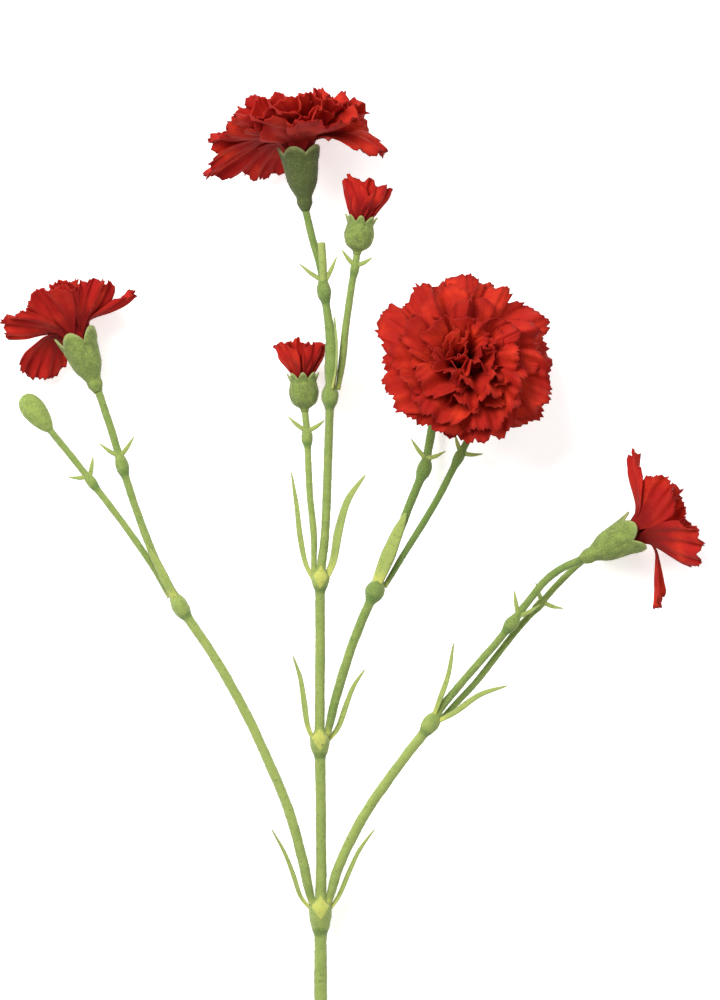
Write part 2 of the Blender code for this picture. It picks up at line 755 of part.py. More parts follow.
def petal_blade(petal, matrix, finish):
    """One petal as a closed blade, split into triangles alike on both faces."""
    across, along = petal.cells
    petal = petal._replace(ruffle=RUFFLE_SHARE * petal.ruffle)
    flat = petal_sheet(petal, across, along, across / 2)
    grid = rest_on_table(placed(flat.reshape(-1, 3), matrix).reshape(flat.shape))
    offset = sheet_normals(grid) * PETAL_THICKNESS / 2
    points = np.concatenate([(grid + offset).reshape(-1, 3), (grid - offset).reshape(-1, 3)])
    points[:, 2] = np.maximum(points[:, 2], 0.0)
    columns, under = across + 1, (across + 1) * (along + 1)
    faces = []
    for i in range(along):
        for j in range(across):
            a, b = i * columns + j, i * columns + j + 1
            c, d = b + columns, a + columns
            faces += [(a, d, c), (a, c, b)]
            faces += [(a + under, c + under, d + under), (a + under, b + under, c + under)]
    loop = list(range(columns))
    loop += [i * columns + across for i in range(1, along + 1)]
    loop += [along * columns + j for j in range(across - 1, -1, -1)]
    loop += [i * columns for i in range(along - 1, 0, -1)]
    for a, b in zip(loop, loop[1:] + loop[:1]):
        faces += [(a, b, b + under), (a, b + under, a + under)]
    return solid("petal", points, faces, finish)


def petal_core(profile, matrix, finish, segments=10):
    """The bundle of claws that carries the petals, turned from (radius, height) rows."""
    points = []
    for k in range(segments):
        angle = 2 * math.pi * (k + 0.5) / segments
        points += [(r * math.cos(angle), r * math.sin(angle), h) for r, h in profile]
    rows, faces = len(profile), []
    for k in range(segments):
        a, b = k * rows, (k + 1) % segments * rows
        faces += [(a + row, b + row, b + row + 1, a + row + 1) for row in range(rows - 1)]
    faces.append(tuple(k * rows for k in range(segments))[::-1])
    faces.append(tuple(k * rows + rows - 1 for k in range(segments)))
    return solid("core", placed(points, matrix), faces, finish)


def flower(name, petals, core_profile, matrix, finish):
    blades = [petal_blade(petal, matrix, finish) for petal in petals]
    return fuse(name, petal_core(core_profile, matrix, finish), blades, PETALS_KEPT)


def whorls(seed, rows, tilt=0.0):
    """Rings of like petals with a little chance in each. A row holds count, first azimuth, ring, rise,
    length, half, lean, curl, cup, ruffle, waves and cells. Petals lean tilt more at azimuth 90 and tilt
    less opposite, which turns the rings' face."""
    draw = random.Random(seed)
    petals = []
    for count, start, ring, rise, length, half, lean, curl, cup, ruffle, waves, cells in rows:
        for k in range(count):
            azimuth = start + 360.0 * k / count + draw.uniform(-5, 5)
            petals.append(
                Petal(
                    azimuth=azimuth,
                    ring=ring,
                    rise=rise,
                    length=length * draw.uniform(0.95, 1.04),
                    half=half * draw.uniform(0.93, 1.07),
                    lean=lean + draw.uniform(-3, 3) + tilt * math.sin(math.radians(azimuth)),
                    curl=curl + draw.uniform(-7, 7),
                    cup=cup + draw.uniform(-0.05, 0.05),
                    ruffle=ruffle * draw.uniform(0.8, 1.2),
                    waves=waves * draw.uniform(0.85, 1.15),
                    phase=draw.uniform(0, 2 * math.pi),
                    twist=OVERLAP_TWIST + draw.uniform(-3, 3),
                    bend=draw.uniform(-1.5, 1.5),
                    lobes=BLOOM_LOBES,
                    oval=0.0,
                    cells=cells,
                )
            )
    return petals


def chosen(rows, ring=3.0, rise=16.4, lobes=BLOOM_LOBES, oval=0.0, cells=(6, 4)):
    """Petals whose place and form are chosen one by one. A row holds azimuth, length, half, lean, curl,
    cup, ruffle, waves, phase, twist and bend."""
    return [Petal(azimuth, ring, rise, *form, lobes, oval, cells) for azimuth, *form in rows]


BLOOM_CORE = [(1.2, 12.0), (4.4, 16.2), (4.4, 19.0), (9.0, 23.2), (8.6, 27.0), (5.6, 30.5), (1.0, 32.0)]
SLIM_CORE = [(1.2, 12.0), (4.4, 16.2), (4.4, 19.5), (3.0, 23.0)]
BUD_CORE = [(0.7, 8.0), (2.3, 9.6), (2.6, 12.5), (1.6, 16.0)]


def large_bloom_petals():
    """The full bloom that faces the sky: rings of petals, flat outside and upright within."""
    return whorls(
        11,
        [
            (8, 12, 3.2, 16.4, 29.5, 12.5, 86, 14, -0.10, 2.0, 1.7, (6, 4)),
            (7, 30, 2.8, 17.0, 28.5, 11.5, 70, 22, -0.05, 2.4, 1.8, (6, 3)),
            (7, 5, 2.3, 17.4, 26.5, 10.0, 52, 30, 0.0, 2.8, 1.9, (5, 2)),
            (6, 25, 1.8, 17.8, 23.5, 9.0, 36, 30, 0.1, 2.8, 2.0, (5, 2)),
            (5, 50, 1.2, 18.0, 20.5, 7.5, 21, 24, 0.2, 2.6, 2.0, (4, 2)),
            (4, 10, 0.8, 18.2, 18.5, 6.0, 9, 20, 0.3, 2.2, 1.8, (4, 2)),
        ],
        tilt=14.0,
    )


def top_bloom_petals():
    """The bloom at the end of the main stem: broad petals that fall outwards under a dome."""
    return chosen(
        [
            (42, 26.5, 14.0, 80, -20, 0.10, 1.2, 1.4, 0.5, 10, 0.0),
            (88, 21.0, 12.5, 66, -6, 0.0, 1.5, 1.7, 4.0, 14, 0.0),
            (124, 25.0, 13.5, 84, -10, 0.08, 1.2, 1.5, 5.2, -6, 0.0),
            (172, 28.0, 11.0, 98, 52, -0.05, 1.2, 1.5, 1.2, 14, 0.0),
            (224, 26.0, 12.0, 76, 14, -0.10, 1.5, 1.6, 2.4, 16, 0.0),
            (268, 25.0, 12.0, 78, 16, -0.10, 1.5, 1.6, 0.2, 16, 0.0),
            (312, 24.0, 9.0, 122, 10, -0.10, 1.2, 1.5, 3.0, 16, 0.0),
            (349, 31.5, 8.6, 114, 4, -0.05, 1.4, 1.4, 2.0, 26, 0.0),
            (8, 27.5, 11.0, 86, 8, -0.05, 1.6, 1.6, 1.1, 22, 0.0),
        ],
        ring=3.2,
    ) + whorls(
        5,
        [
            (8, 22, 2.7, 16.8, 24.5, 11.0, 66, 10, -0.05, 2.0, 1.7, (6, 3)),
            (7, 10, 2.1, 17.0, 22.5, 9.5, 47, 12, 0.05, 2.1, 1.7, (5, 2)),
            (5, 35, 1.5, 17.2, 19.8, 8.0, 30, 14, 0.15, 2.0, 1.6, (4, 2)),
            (3, 60, 0.8, 17.4, 18.0, 6.5, 14, 14, 0.25, 1.7, 1.5, (4, 2)),
        ],
    )


def left_bloom_petals():
    """A looser bloom. One petal hangs back along the calyx and one stands out alone on the right."""
    return chosen(
        [
            (16, 22.8, 8.0, 64, -4, 0.10, 1.1, 1.5, 0.4, 30, 0.0),
            (60, 21.5, 9.5, 36, 2, 0.10, 1.6, 1.9, 1.0, 8, 1.5),
            (108, 18.5, 8.0, 26, 6, 0.25, 1.7, 2.1, 2.6, -8, 0.0),
            (148, 20.0, 7.5, 48, -4, 0.15, 1.3, 1.7, 4.1, -30, 1.5),
            (182, 21.5, 4.4, 88, -22, 0.35, 0.8, 1.6, 0.8, -12, 1.0),
            (328, 22.5, 8.5, 130, 2, -0.05, 1.4, 1.7, 5.2, 38, 0.0),
            (290, 21.0, 8.5, 58, 6, 0.05, 1.5, 1.9, 3.3, 5, 0.0),
            (250, 21.0, 8.5, 54, 8, 0.05, 1.5, 2.0, 1.9, -6, 0.0),
            (212, 20.0, 8.0, 52, 4, 0.10, 1.4, 1.8, 0.2, 10, 0.0),
        ]
    ) + whorls(23, [(4, 100, 1.6, 16.4, 18.8, 6.0, 16, 14, 0.2, 1.7, 1.6, (5, 2))])


def right_bloom_petals():
    """The oldest bloom, opened wide, with one withered petal hanging down."""
    return chosen(
        [
            (10, 24.5, 6.0, 72, -8, 0.20, 0.8, 1.3, 0.6, 14, -1.0),
            (54, 22.0, 8.4, 42, 0, 0.15, 1.2, 1.6, 1.2, 14, 0.0),
            (136, 24.5, 10.0, 52, 0, 0.05, 1.1, 1.5, 2.8, -14, 0.0),
            (192, 26.0, 3.4, 116, -8, 0.45, 0.5, 1.2, 4.0, 20, 0.0),
            (236, 22.0, 8.0, 56, 6, 0.05, 1.2, 1.7, 5.0, 0, 0.0),
            (300, 22.0, 8.0, 50, 6, 0.05, 1.3, 1.8, 0.3, 0, 0.0),
        ]
    ) + whorls(31, [(3, 80, 1.6, 17.2, 19.5, 6.5, 16, 12, 0.2, 1.3, 1.5, (5, 2))])


def bud_petals(rows, oval, cells):
    return chosen(rows, ring=2.15, rise=9.9, lobes=BUD_LOBES, oval=oval, cells=cells)


def upper_bud_petals():
    """Three oval petals that stand as a narrow tulip, before three shorter ones."""
    return bud_petals(
        [
            (64, 14.2, 4.8, 22, -20, 0.45, 0.1, 1.0, 0.3, 0, -3.2),
            (98, 13.4, 4.3, 12, -6, 0.45, 0.15, 1.0, 2.0, 0, 0.7),
            (134, 13.6, 4.9, 42, -62, 0.45, 0.1, 1.0, 4.2, 0, 2.6),
            (200, 10.8, 4.2, 34, -40, 0.35, 0.2, 1.0, 5.5, 0, 0.0),
            (262, 10.8, 4.2, 20, -20, 0.35, 0.2, 1.0, 1.1, 0, 0.0),
            (325, 10.8, 4.0, 26, -30, 0.35, 0.2, 1.0, 3.1, 0, 0.0),
        ],
        oval=1.0,
        cells=(6, 3),
    )


def centre_bud_petals():
    """Short petals that have just begun to open."""
    return bud_petals(
        [
            (35, 12.6, 5.0, 34, -18, 0.30, 0.5, 1.3, 0.9, 8, 0.0),
            (80, 12.6, 4.6, 14, 16, 0.30, 0.4, 1.2, 2.2, -4, 0.0),
            (140, 12.4, 5.2, 36, -16, 0.30, 0.5, 1.3, 4.0, -6, 0.0),
            (205, 12.4, 5.0, 30, -12, 0.30, 0.5, 1.3, 5.2, 8, 0.0),
            (270, 12.4, 5.0, 28, -10, 0.30, 0.5, 1.3, 1.4, 8, 0.0),
            (330, 13.4, 4.4, 36, -4, 0.35, 0.5, 1.3, 3.1, 8, 0.0),
        ],
        oval=0.6,
        cells=(5, 2),
    )


# --------------------------------------------------------------------------- the spray

TOP_HEAD = ((-4.3, 207.9, 25.5), (-0.10, 1.0, 0.03))
LEFT_HEAD = ((-66.7, 153.7, 16.0), (-0.36, 0.92, 0.02))
RIGHT_HEAD = ((78.1, 103.3, 16.6), (0.89, 0.45, 0.0))
LARGE_HEAD = ((37.05, 156.75, 9.0), (0.29, 0.27, 1.0))
UPPER_BUD_HEAD = ((11.0, 194.9, 23.5), (0.12, 1.0, 0.04))
CENTRE_BUD_HEAD = ((-4.6, 147.7, 16.2), (-0.05, 1.0, -0.02))
LEFT_CLOSED_BUD = ((-81.2, 142.3, 13.2), (-0.62, 0.78, 0.0))
RIGHT_CLOSED_BUD = ((81.3, 104.6, 6.3), (0.82, 0.55, -0.10))
MIDDLE_CLOSED_BUD = ((50.7, 151.7, 8.6), (0.35, 0.93, 0.0))


def build_spray():
    stem_green = material("stem_green", STEM_GREEN, 0.85)
    calyx_green = material("calyx_green", CALYX_GREEN, 0.85)
    petal_red = material("petal_red", PETAL_RED, 0.7)

    main_stem(stem_green)
    left_branch(stem_green)
    left_bud_stem(stem_green)
    right_branch(stem_green)
    right_bud_stem(stem_green)
    middle_branch(stem_green)
    middle_bud_stem(stem_green)
    centre_bud_stem(stem_green)
    upper_bud_stem(stem_green)

    closed_bud("left_closed_bud", *LEFT_CLOSED_BUD, calyx_green)
    closed_bud("right_closed_bud", *RIGHT_CLOSED_BUD, calyx_green)
    closed_bud("middle_closed_bud", *MIDDLE_CLOSED_BUD, calyx_green)

    for name, head, petals, core in (
        ("large_bloom", LARGE_HEAD, large_bloom_petals(), BLOOM_CORE),
        ("top_bloom", TOP_HEAD, top_bloom_petals(), BLOOM_CORE),
        ("left_bloom", LEFT_HEAD, left_bloom_petals(), SLIM_CORE),
        ("right_bloom", RIGHT_HEAD, right_bloom_petals(), SLIM_CORE),
    ):
        place = head_matrix(*head)
        bloom_calyx(name + "_calyx", place, calyx_green)
        flower(name + "_petals", petals, core, place, petal_red)

    for name, head, petals in (
        ("upper_bud", UPPER_BUD_HEAD, upper_bud_petals()),
        ("centre_bud", CENTRE_BUD_HEAD, centre_bud_petals()),
    ):
        place = head_matrix(*head)
        bud_calyx(name + "_calyx", place, calyx_green)
        flower(name + "_petals", petals, BUD_CORE, place, petal_red)


clear_scene()
build_spray()
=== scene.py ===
"""A cut spray of red carnations that lies on a pale table, seen from straight above.

It is an artificial flower. Its stems, leaves, calyxes and shut buds are moulded plastic with a short
flocked nap, and its petals are cut from thin red cloth, pressed into folds and pushed into the calyxes.
Lengths below are millimetres in the spray's own frame: the lowest fork is the origin of X and Y, the table
is Z = 0, and the stem runs along +Y.
"""

import math
import random
from collections import namedtuple

import bpy
import numpy as np
from mathutils import Matrix, Vector


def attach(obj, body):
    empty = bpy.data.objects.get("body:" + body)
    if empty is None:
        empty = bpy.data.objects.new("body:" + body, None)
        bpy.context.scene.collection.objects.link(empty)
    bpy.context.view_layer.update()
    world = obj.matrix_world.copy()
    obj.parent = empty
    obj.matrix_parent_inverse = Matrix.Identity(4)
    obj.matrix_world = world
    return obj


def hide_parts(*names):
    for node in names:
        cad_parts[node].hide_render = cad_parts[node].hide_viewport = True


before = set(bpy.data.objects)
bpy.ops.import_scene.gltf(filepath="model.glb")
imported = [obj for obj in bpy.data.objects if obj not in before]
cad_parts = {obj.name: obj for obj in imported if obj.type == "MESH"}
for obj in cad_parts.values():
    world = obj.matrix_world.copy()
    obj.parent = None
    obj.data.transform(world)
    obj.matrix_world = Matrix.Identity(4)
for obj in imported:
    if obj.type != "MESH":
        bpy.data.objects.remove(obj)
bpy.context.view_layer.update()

# ------------------------------------------------------------------ main stem with its leafy forks
#
# The spray's axis is one moulding: a round stem that swells at each fork into a cup, where two narrow
# leaves grow from its rim, then a sheath leaf, a joint with two short bracts, and a small upright stub.
# The nap is short fibre glued all over it, pale green with darker specks and yellow in the forks.

SPRAY_MIDDLE = np.array([8.8, 66.7, 0.0])  # middle of the whole spray, which is the scene's origin
STEM_SIDES = 20
RING_STEP = 0.9
STEM_WAVES = ((23, 0.03), (9, 0.025), (3.1, 0.02))  # length and depth of the waves in a stem's girth
ROOT_FADE = 0.07  # how much yellow a stem loses in a millimetre from its root
# Rows of the distance from a fork's rim and how far round the cup its yellow reaches there.
FORK_YELLOW = ((-5.4, -1.0), (-4.2, 0.0), (0.4, 1.1), (1.6, 0.5), (3.0, 0.2))
FOOT_SHADE, FOOT_WIDTH = 0.45, 0.9  # the dark ring where a swelling starts
LEAF_THICKNESS = 0.9
BRACT_WIDTH = 1.5
FIBRES = 3.5  # on a square millimetre
FIBRE_LENGTH = 0.32
STEM_PALE = (0.34, 0.42, 0.095)
STEM_DEEP = (0.10, 0.185, 0.022)
SAP_YELLOW = (0.56, 0.57, 0.11)
STEM_SPECK = (0.05, 0.12, 0.02)
STEM_FIBRE = (0.54, 0.62, 0.25)


class Socket:
    """A shader value that can be added, multiplied and passed to any other node."""

    def __init__(self, tree, out):
        self.tree = tree
        self.out = out

    def feed(self, slot, value):
        if isinstance(value, Socket):
            self.tree.links.new(value.out, slot)
        elif isinstance(value, tuple) and slot.type == "RGBA":
            slot.default_value = (*value, 1)
        else:
            slot.default_value = value

    def node(self, kind, inputs, output=0, **settings):
        """Adds a node. inputs maps the name or number of a socket to a value or to another Socket."""
        made = self.tree.nodes.new(kind)
        for setting, value in settings.items():
            setattr(made, setting, value)
        for key, value in inputs.items():
            self.feed(made.inputs[key], value)
        return Socket(self.tree, made.outputs[output])

    def maths(self, operation, *values):
        return self.node("ShaderNodeMath", dict(enumerate(values)), operation=operation)

    def __add__(self, other):
        return self.maths("ADD", self, other)

    def __radd__(self, other):
        return self.maths("ADD", other, self)

    def __sub__(self, other):
        return self.maths("SUBTRACT", self, other)

    def __rsub__(self, other):
        return self.maths("SUBTRACT", other, self)

    def __mul__(self, other):
        return self.maths("MULTIPLY", self, other)

    def __rmul__(self, other):
        return self.maths("MULTIPLY", other, self)

    def step(self, low, high):
        """0 below low, 1 above high and smooth between."""
        inputs = {"Value": self, "From Min": low, "From Max": high}
        return self.node("ShaderNodeMapRange", inputs, interpolation_type="SMOOTHSTEP")

    def noise(self, scale, detail, roughness):
        """Noise over this vector, 0 to 1. scale is how many of its cells fit in a metre, or in 1."""
        inputs = {"Vector": self, "Scale": scale, "Detail": detail, "Roughness": roughness}
        return self.node("ShaderNodeTexNoise", inputs)

    def bump(self, strength, distance):
        """A normal for a surface that has this height, from 0 to 1 of distance, in metres."""
        return self.node("ShaderNodeBump", {"Strength": strength, "Distance": distance, "Height": self})

    def blend(self, first, second):
        """first where this is 0, second where it is 1. Both are colours."""
        return self.node("ShaderNodeMix", {0: self, 6: first, 7: second}, 2, data_type="RGBA")

    def attribute(self, name, output=2):
        """What the mesh holds at each of its points: output 2 is a number and 1 a vector."""
        return self.node("ShaderNodeAttribute", {}, output, attribute_name=name)

    def parts(self):
        """The three numbers of this vector."""
        split = self.node("ShaderNodeSeparateXYZ", {0: self})
        return [Socket(self.tree, out) for out in split.out.node.outputs]


def material(name, finish_of):
    """A Principled material. finish_of gets its object coordinates and returns its inputs by name."""
    made = bpy.data.materials.new(name)
    made.use_nodes = True
    tree = made.node_tree
    shader = tree.nodes["Principled BSDF"]
    place = Socket(tree, tree.nodes.new("ShaderNodeTexCoord").outputs["Object"])
    for key, value in finish_of(place).items():
        place.feed(shader.inputs[key], value)
    return made


def stem_finish(place):
    """The nap: pale and deep patches, deepened further by the shade attribute, which near the blooms is
    painted shade; light grain of single fibres; dark specks where it is worn.
    """
    shade = place.attribute("shade")
    patches = place.noise(260.0, 3.0, 0.6)
    streaks = place.noise(900.0, 2.0, 0.6)
    grain = place.noise(5200.0, 2.0, 0.7)
    # The shade attribute's deeper green near the blooms is painted shade.
    deepness = (shade + 0.55 * patches + 0.35 * streaks - 0.15).step(0.1, 1.0)
    colour = deepness.blend(STEM_PALE, STEM_DEEP)
    yellow = (place.attribute("sap") + 0.5 * (streaks - 0.5)).step(-0.12, 0.2)
    colour = (0.8 * yellow).blend(colour, SAP_YELLOW)
    specks = place.noise(1300.0, 1.5, 0.5).step(0.65, 0.71)
    colour = (0.7 * specks).blend(colour, STEM_SPECK)
    colour = (0.5 * grain.step(0.45, 0.75)).blend(colour, STEM_FIBRE)
    return {
        "Base Color": colour,
        "Roughness": 0.78 + 0.2 * grain,
        "Normal": (0.6 * grain + 0.4 * streaks).bump(0.5, 0.00018),
        "Specular IOR Level": 0.25,
        "Sheen Weight": 0.25,
        "Sheen Roughness": 0.6,
    }


stem_green = material("stem_flock", stem_finish)


def smooth_route(points, parts=12):
    """Catmull-Rom curve through the points, as a fine polyline."""
    points = np.asarray(points, float)
    ends = [2 * points[0] - points[1], *points, 2 * points[-1] - points[-2]]
    fine = []
    for before, start, end, after in zip(ends, ends[1:], ends[2:], ends[3:]):
        u = np.arange(parts)[:, None] / parts
        bend = (2 * before - 5 * start + 4 * end - after) * u**2
        bend = bend + (3 * start - before - 3 * end + after) * u**3
        fine.append(start + 0.5 * ((end - before) * u + bend))
    return np.vstack([*fine, points[-1:]])


def distances(line):
    return np.concatenate([[0], np.cumsum(np.linalg.norm(np.diff(line, axis=0), axis=1))])


def frames_along(line):
    """Two side directions at each point of a line, turned as little as possible on the way."""
    tangents = np.gradient(line, axis=0)
    tangents /= np.linalg.norm(tangents, axis=1)[:, None]
    side = np.cross(tangents[0], [0.0, 0.0, 1.0])
    sides = []
    for tangent in tangents:
        side = side - tangent * (side @ tangent)
        side = side / np.linalg.norm(side)
        sides.append(side)
    return np.array(sides), np.cross(sides, tangents)


def cells(rows, count):
    """A corner of each cell between rings of count points, and the corner beside it in its ring."""
    for row in range(rows - 1):
        for k in range(count):
            yield row * count + k, row * count + (k + 1) % count


def tube(centres, rings, attributes):
    """A closed tube. rings holds, for each centre, its (across, over) pairs; attributes, a value for each
    of those. Returns points, faces and the attributes of every point."""
    sides, ups = frames_along(centres)
    rings = np.asarray(rings)
    points = centres[:, None] + rings[..., :1] * sides[:, None] + rings[..., 1:] * ups[:, None]
    rows, count = rings.shape[:2]
    faces = [(a, a + count, b + count, b) for a, b in cells(rows, count)]
    faces.append(tuple(range(count)))
    faces.append(tuple(range((rows - 1) * count, rows * count))[::-1])
    values = {name: np.broadcast_to(value, (rows, count)).ravel() for name, value in attributes.items()}
    return points.reshape(-1, 3), faces, values


def joined(shells):
    """One set of points, faces and attributes from several."""
    points = np.vstack([shell[0] for shell in shells])
    faces, start = [], 0
    for shell in shells:
        faces += [tuple(start + corner for corner in face) for face in shell[1]]
        start += len(shell[0])
    names = shells[0][2]
    return points, faces, {name: np.concatenate([shell[2][name] for shell in shells]) for name in names}


def piece(name, shell, finish):
    """An object from points in millimetres of the spray's frame, with its attributes and smooth faces."""
    points, faces, attributes = shell
    mesh = bpy.data.meshes.new(name)
    mesh.from_pydata(((points - SPRAY_MIDDLE) * 0.001).tolist(), [], faces)
    for attribute, values in attributes.items():
        values = np.asarray(values, np.float32)
        kind = "FLOAT_VECTOR" if values.ndim == 2 else "FLOAT"
        made = mesh.attributes.new(attribute, kind, "POINT")
        made.data.foreach_set("vector" if values.ndim == 2 else "value", values.ravel())
    mesh.materials.append(finish)
    mesh.shade_smooth()
    made = bpy.data.objects.new(name, mesh)
    bpy.context.scene.collection.objects.link(made)
    return made


# A swelling of a stem: at is the route point in its middle, and rings its rows of distance from there and
# radius. A fork is one whose rim is yellow, in a V on both faces of the cup.
Swelling = namedtuple("Swelling", "at rings fork")


def knot(at, radius, below, above, stem_radius):
    """A round joint."""
    shoulder = stem_radius + 0.78 * (radius - stem_radius)
    rings = [(-below, stem_radius), (-0.6 * below, shoulder), (0, radius), (0.6 * above, shoulder)]
    return Swelling(at, [*rings, (above, stem_radius)], False)


def fork(at, radius, length, stem_radius, next_radius):
    """A joint that widens upwards like a cup and ends where the branches leave it."""
    growth = radius - stem_radius
    cup = [(-length, stem_radius), (-0.78 * length, stem_radius + 0.5 * growth)]
    cup += [(-0.45 * length, stem_radius + 0.85 * growth), (0, radius)]
    return Swelling(at, [*cup, (0.8, 0.85 * radius), (1.3, next_radius)], True)


def stem(route, swellings, seed, shade=((0, 0.0), (1, 0.0)), root=0.12):
    """A stem whose route rows are (x, y, z, radius). shade holds (share of its length, how deep a green),
    where the deeper green near the blooms is painted shade, and root is how yellow it starts, which fades
    over a few millimetres."""
    fine = smooth_route(route)
    along = distances(fine[:, :3])
    at_point = along[:: (len(fine) - 1) // (len(route) - 1)]
    stops = np.linspace(0, along[-1], int(along[-1] / RING_STEP) + 2)
    rows = np.array([np.interp(stops, along, fine[:, k]) for k in range(4)]).T
    radii = rows[:, 3].copy()
    for swelling in swellings:
        offsets, sizes = zip(*swelling.rings)
        from_middle = stops - at_point[swelling.at]
        inside = (from_middle > offsets[0]) & (from_middle < offsets[-1])
        radii[inside] = np.interp(from_middle[inside], offsets, sizes)
    soft = np.convolve(np.pad(radii, 1, "edge"), [0.25, 0.5, 0.25], "valid")
    angles = 2 * np.pi * np.arange(STEM_SIDES) / STEM_SIDES
    draw = random.Random(seed)
    uneven = np.zeros((len(stops), STEM_SIDES))
    for length, depth in STEM_WAVES:
        start, turn = draw.uniform(0, 6.28), draw.uniform(0, 6.28)
        wave = np.sin(2 * np.pi * stops / length + start)[:, None] * np.cos(angles + turn)
        uneven += depth * (wave + 0.6 * np.sin(2 * np.pi * stops / (0.7 * length) + turn)[:, None])
    around = soft[:, None] * (1 + uneven)
    rings = np.stack([around * np.cos(angles), around * np.sin(angles)], axis=-1)
    sap = np.repeat(np.maximum(root - ROOT_FADE * stops, -1.0)[:, None], STEM_SIDES, axis=1)
    from_face = np.arccos(np.abs(np.sin(angles)))
    places, reaches = zip(*FORK_YELLOW)
    deep = np.interp(stops / along[-1], *zip(*shade))
    for swelling in swellings:
        from_rim = stops - at_point[swelling.at]
        if swelling.fork:
            cup = (from_rim > places[0]) & (from_rim < places[-1])
            sap[cup] = np.interp(from_rim, places, reaches)[cup, None] - from_face
        edge = at_point[swelling.at] + swelling.rings[0][0]
        deep += FOOT_SHADE * np.exp(-(((stops - edge - 0.5) / FOOT_WIDTH) ** 2))
    return tube(rows[:, :3], rings, {"sap": sap, "shade": deep[:, None]})


def blade(line, halves, thicknesses, roll, sap):
    """A leaf: creased along its rib on the upper face, rounded below, with thin edges."""
    outline = [(1.0, 0.0), (0.72, 0.55), (0.36, 0.85), (0.0, 0.55), (-0.36, 0.85), (-0.72, 0.55)]
    outline += [(-1.0, 0.0), (-0.6, -0.6), (0.0, -1.0), (0.6, -0.6)]
    across, over = np.array(outline).T
    wide, deep = halves[:, None] * across, thicknesses[:, None] * over
    cos, sin = math.cos(math.radians(roll)), math.sin(math.radians(roll))
    rings = np.stack([wide * cos - deep * sin, wide * sin + deep * cos], axis=-1)
    return tube(line, rings, {"sap": sap[:, None], "shade": np.zeros((len(line), 1))})


def leaf(route, width, roll=40.0):
    """A narrow pointed leaf, widest below its middle and yellow where it leaves the fork."""
    line = smooth_route(route, 8)
    u = distances(line) / distances(line)[-1]
    outline = np.interp(u, [0, 0.15, 0.4, 0.75, 0.95, 1], [0.7, 0.85, 1.0, 0.75, 0.35, 0.12])
    sap = 0.25 - 1.6 * u
    return blade(line, outline * width / 2, 0.25 * LEAF_THICKNESS * (1 + outline), roll, sap)


def bract(root, tip):
    """One of the two short pointed leaves over a joint."""
    root, tip = np.array(root, float), np.array(tip, float)
    line = smooth_route([root, (root + tip) / 2 + np.array([0, -0.35, 0.2]), tip], 5)
    u = distances(line) / distances(line)[-1]
    halves = np.interp(u, [0, 0.5, 1], [1.0, 0.85, 0.2]) * BRACT_WIDTH / 2
    return blade(line, halves, np.interp(u, [0, 0.5, 1], [0.55, 0.5, 0.2]), 0.0, -0.1 - 0.8 * u)


def nap_tree():
    """Geometry nodes that stand short fibres all over a surface."""
    tree = bpy.data.node_groups.new("nap", "GeometryNodeTree")
    tree.interface.new_socket("Surface", in_out="INPUT", socket_type="NodeSocketGeometry")
    for name, kind, value in (
        ("Fibres", "NodeSocketFloat", FIBRES * 1e6),
        ("Length", "NodeSocketFloat", FIBRE_LENGTH * 0.001),
        ("Seed", "NodeSocketInt", 0),
    ):
        tree.interface.new_socket(name, in_out="INPUT", socket_type=kind).default_value = value
    tree.interface.new_socket("Finish", in_out="INPUT", socket_type="NodeSocketMaterial")
    tree.interface.new_socket("Napped", in_out="OUTPUT", socket_type="NodeSocketGeometry")
    nodes = {}

    def add(name, kind, links, **settings):
        """links maps a socket to a value, or to the name of an earlier node and its socket."""
        made = tree.nodes.new(kind)
        nodes[name] = made
        for setting, value in settings.items():
            setattr(made, setting, value)
        for key, value in links.items():
            if isinstance(value, tuple) and isinstance(value[0], str):
                tree.links.new(nodes[value[0]].outputs[value[1]], made.inputs[key])
            else:
                made.inputs[key].default_value = value

    add("in", "NodeGroupInput", {})
    spots = {"Mesh": ("in", "Surface"), "Density": ("in", "Fibres"), "Seed": ("in", "Seed")}
    add("spots", "GeometryNodeDistributePointsOnFaces", spots, distribute_method="RANDOM")
    add("fibre", "GeometryNodeMeshCone", {"Vertices": 3, "Radius Bottom": 0.13, "Depth": 1.0})
    drawn = {"Min": (-0.7, -0.7, -3.14), "Max": (0.7, 0.7, 3.14), "Seed": ("in", "Seed")}
    add("lean", "FunctionNodeRandomValue", drawn, data_type="FLOAT_VECTOR")
    turned = {0: ("spots", "Rotation"), 1: ("lean", 0)}
    add("turn", "FunctionNodeRotateRotation", turned, rotation_space="LOCAL")
    add("size", "FunctionNodeRandomValue", {2: 0.6, 3: 1.2, "Seed": ("in", "Seed")}, data_type="FLOAT")
    add("long", "ShaderNodeMath", {0: ("size", 1), 1: ("in", "Length")}, operation="MULTIPLY")
    stood = {"Points": ("spots", 0), "Instance": ("fibre", 0), "Rotation": ("turn", 0), "Scale": ("long", 0)}
    add("stood", "GeometryNodeInstanceOnPoints", stood)
    add("real", "GeometryNodeRealizeInstances", {0: ("stood", 0)})
    add("whole", "GeometryNodeJoinGeometry", {0: ("in", "Surface")})
    tree.links.new(nodes["real"].outputs[0], nodes["whole"].inputs[0])
    add("dressed", "GeometryNodeSetMaterial", {0: ("whole", 0), "Material": ("in", "Finish")})
    add("out", "NodeGroupOutput", {0: ("dressed", 0)})
    return tree


stem_nap = nap_tree()


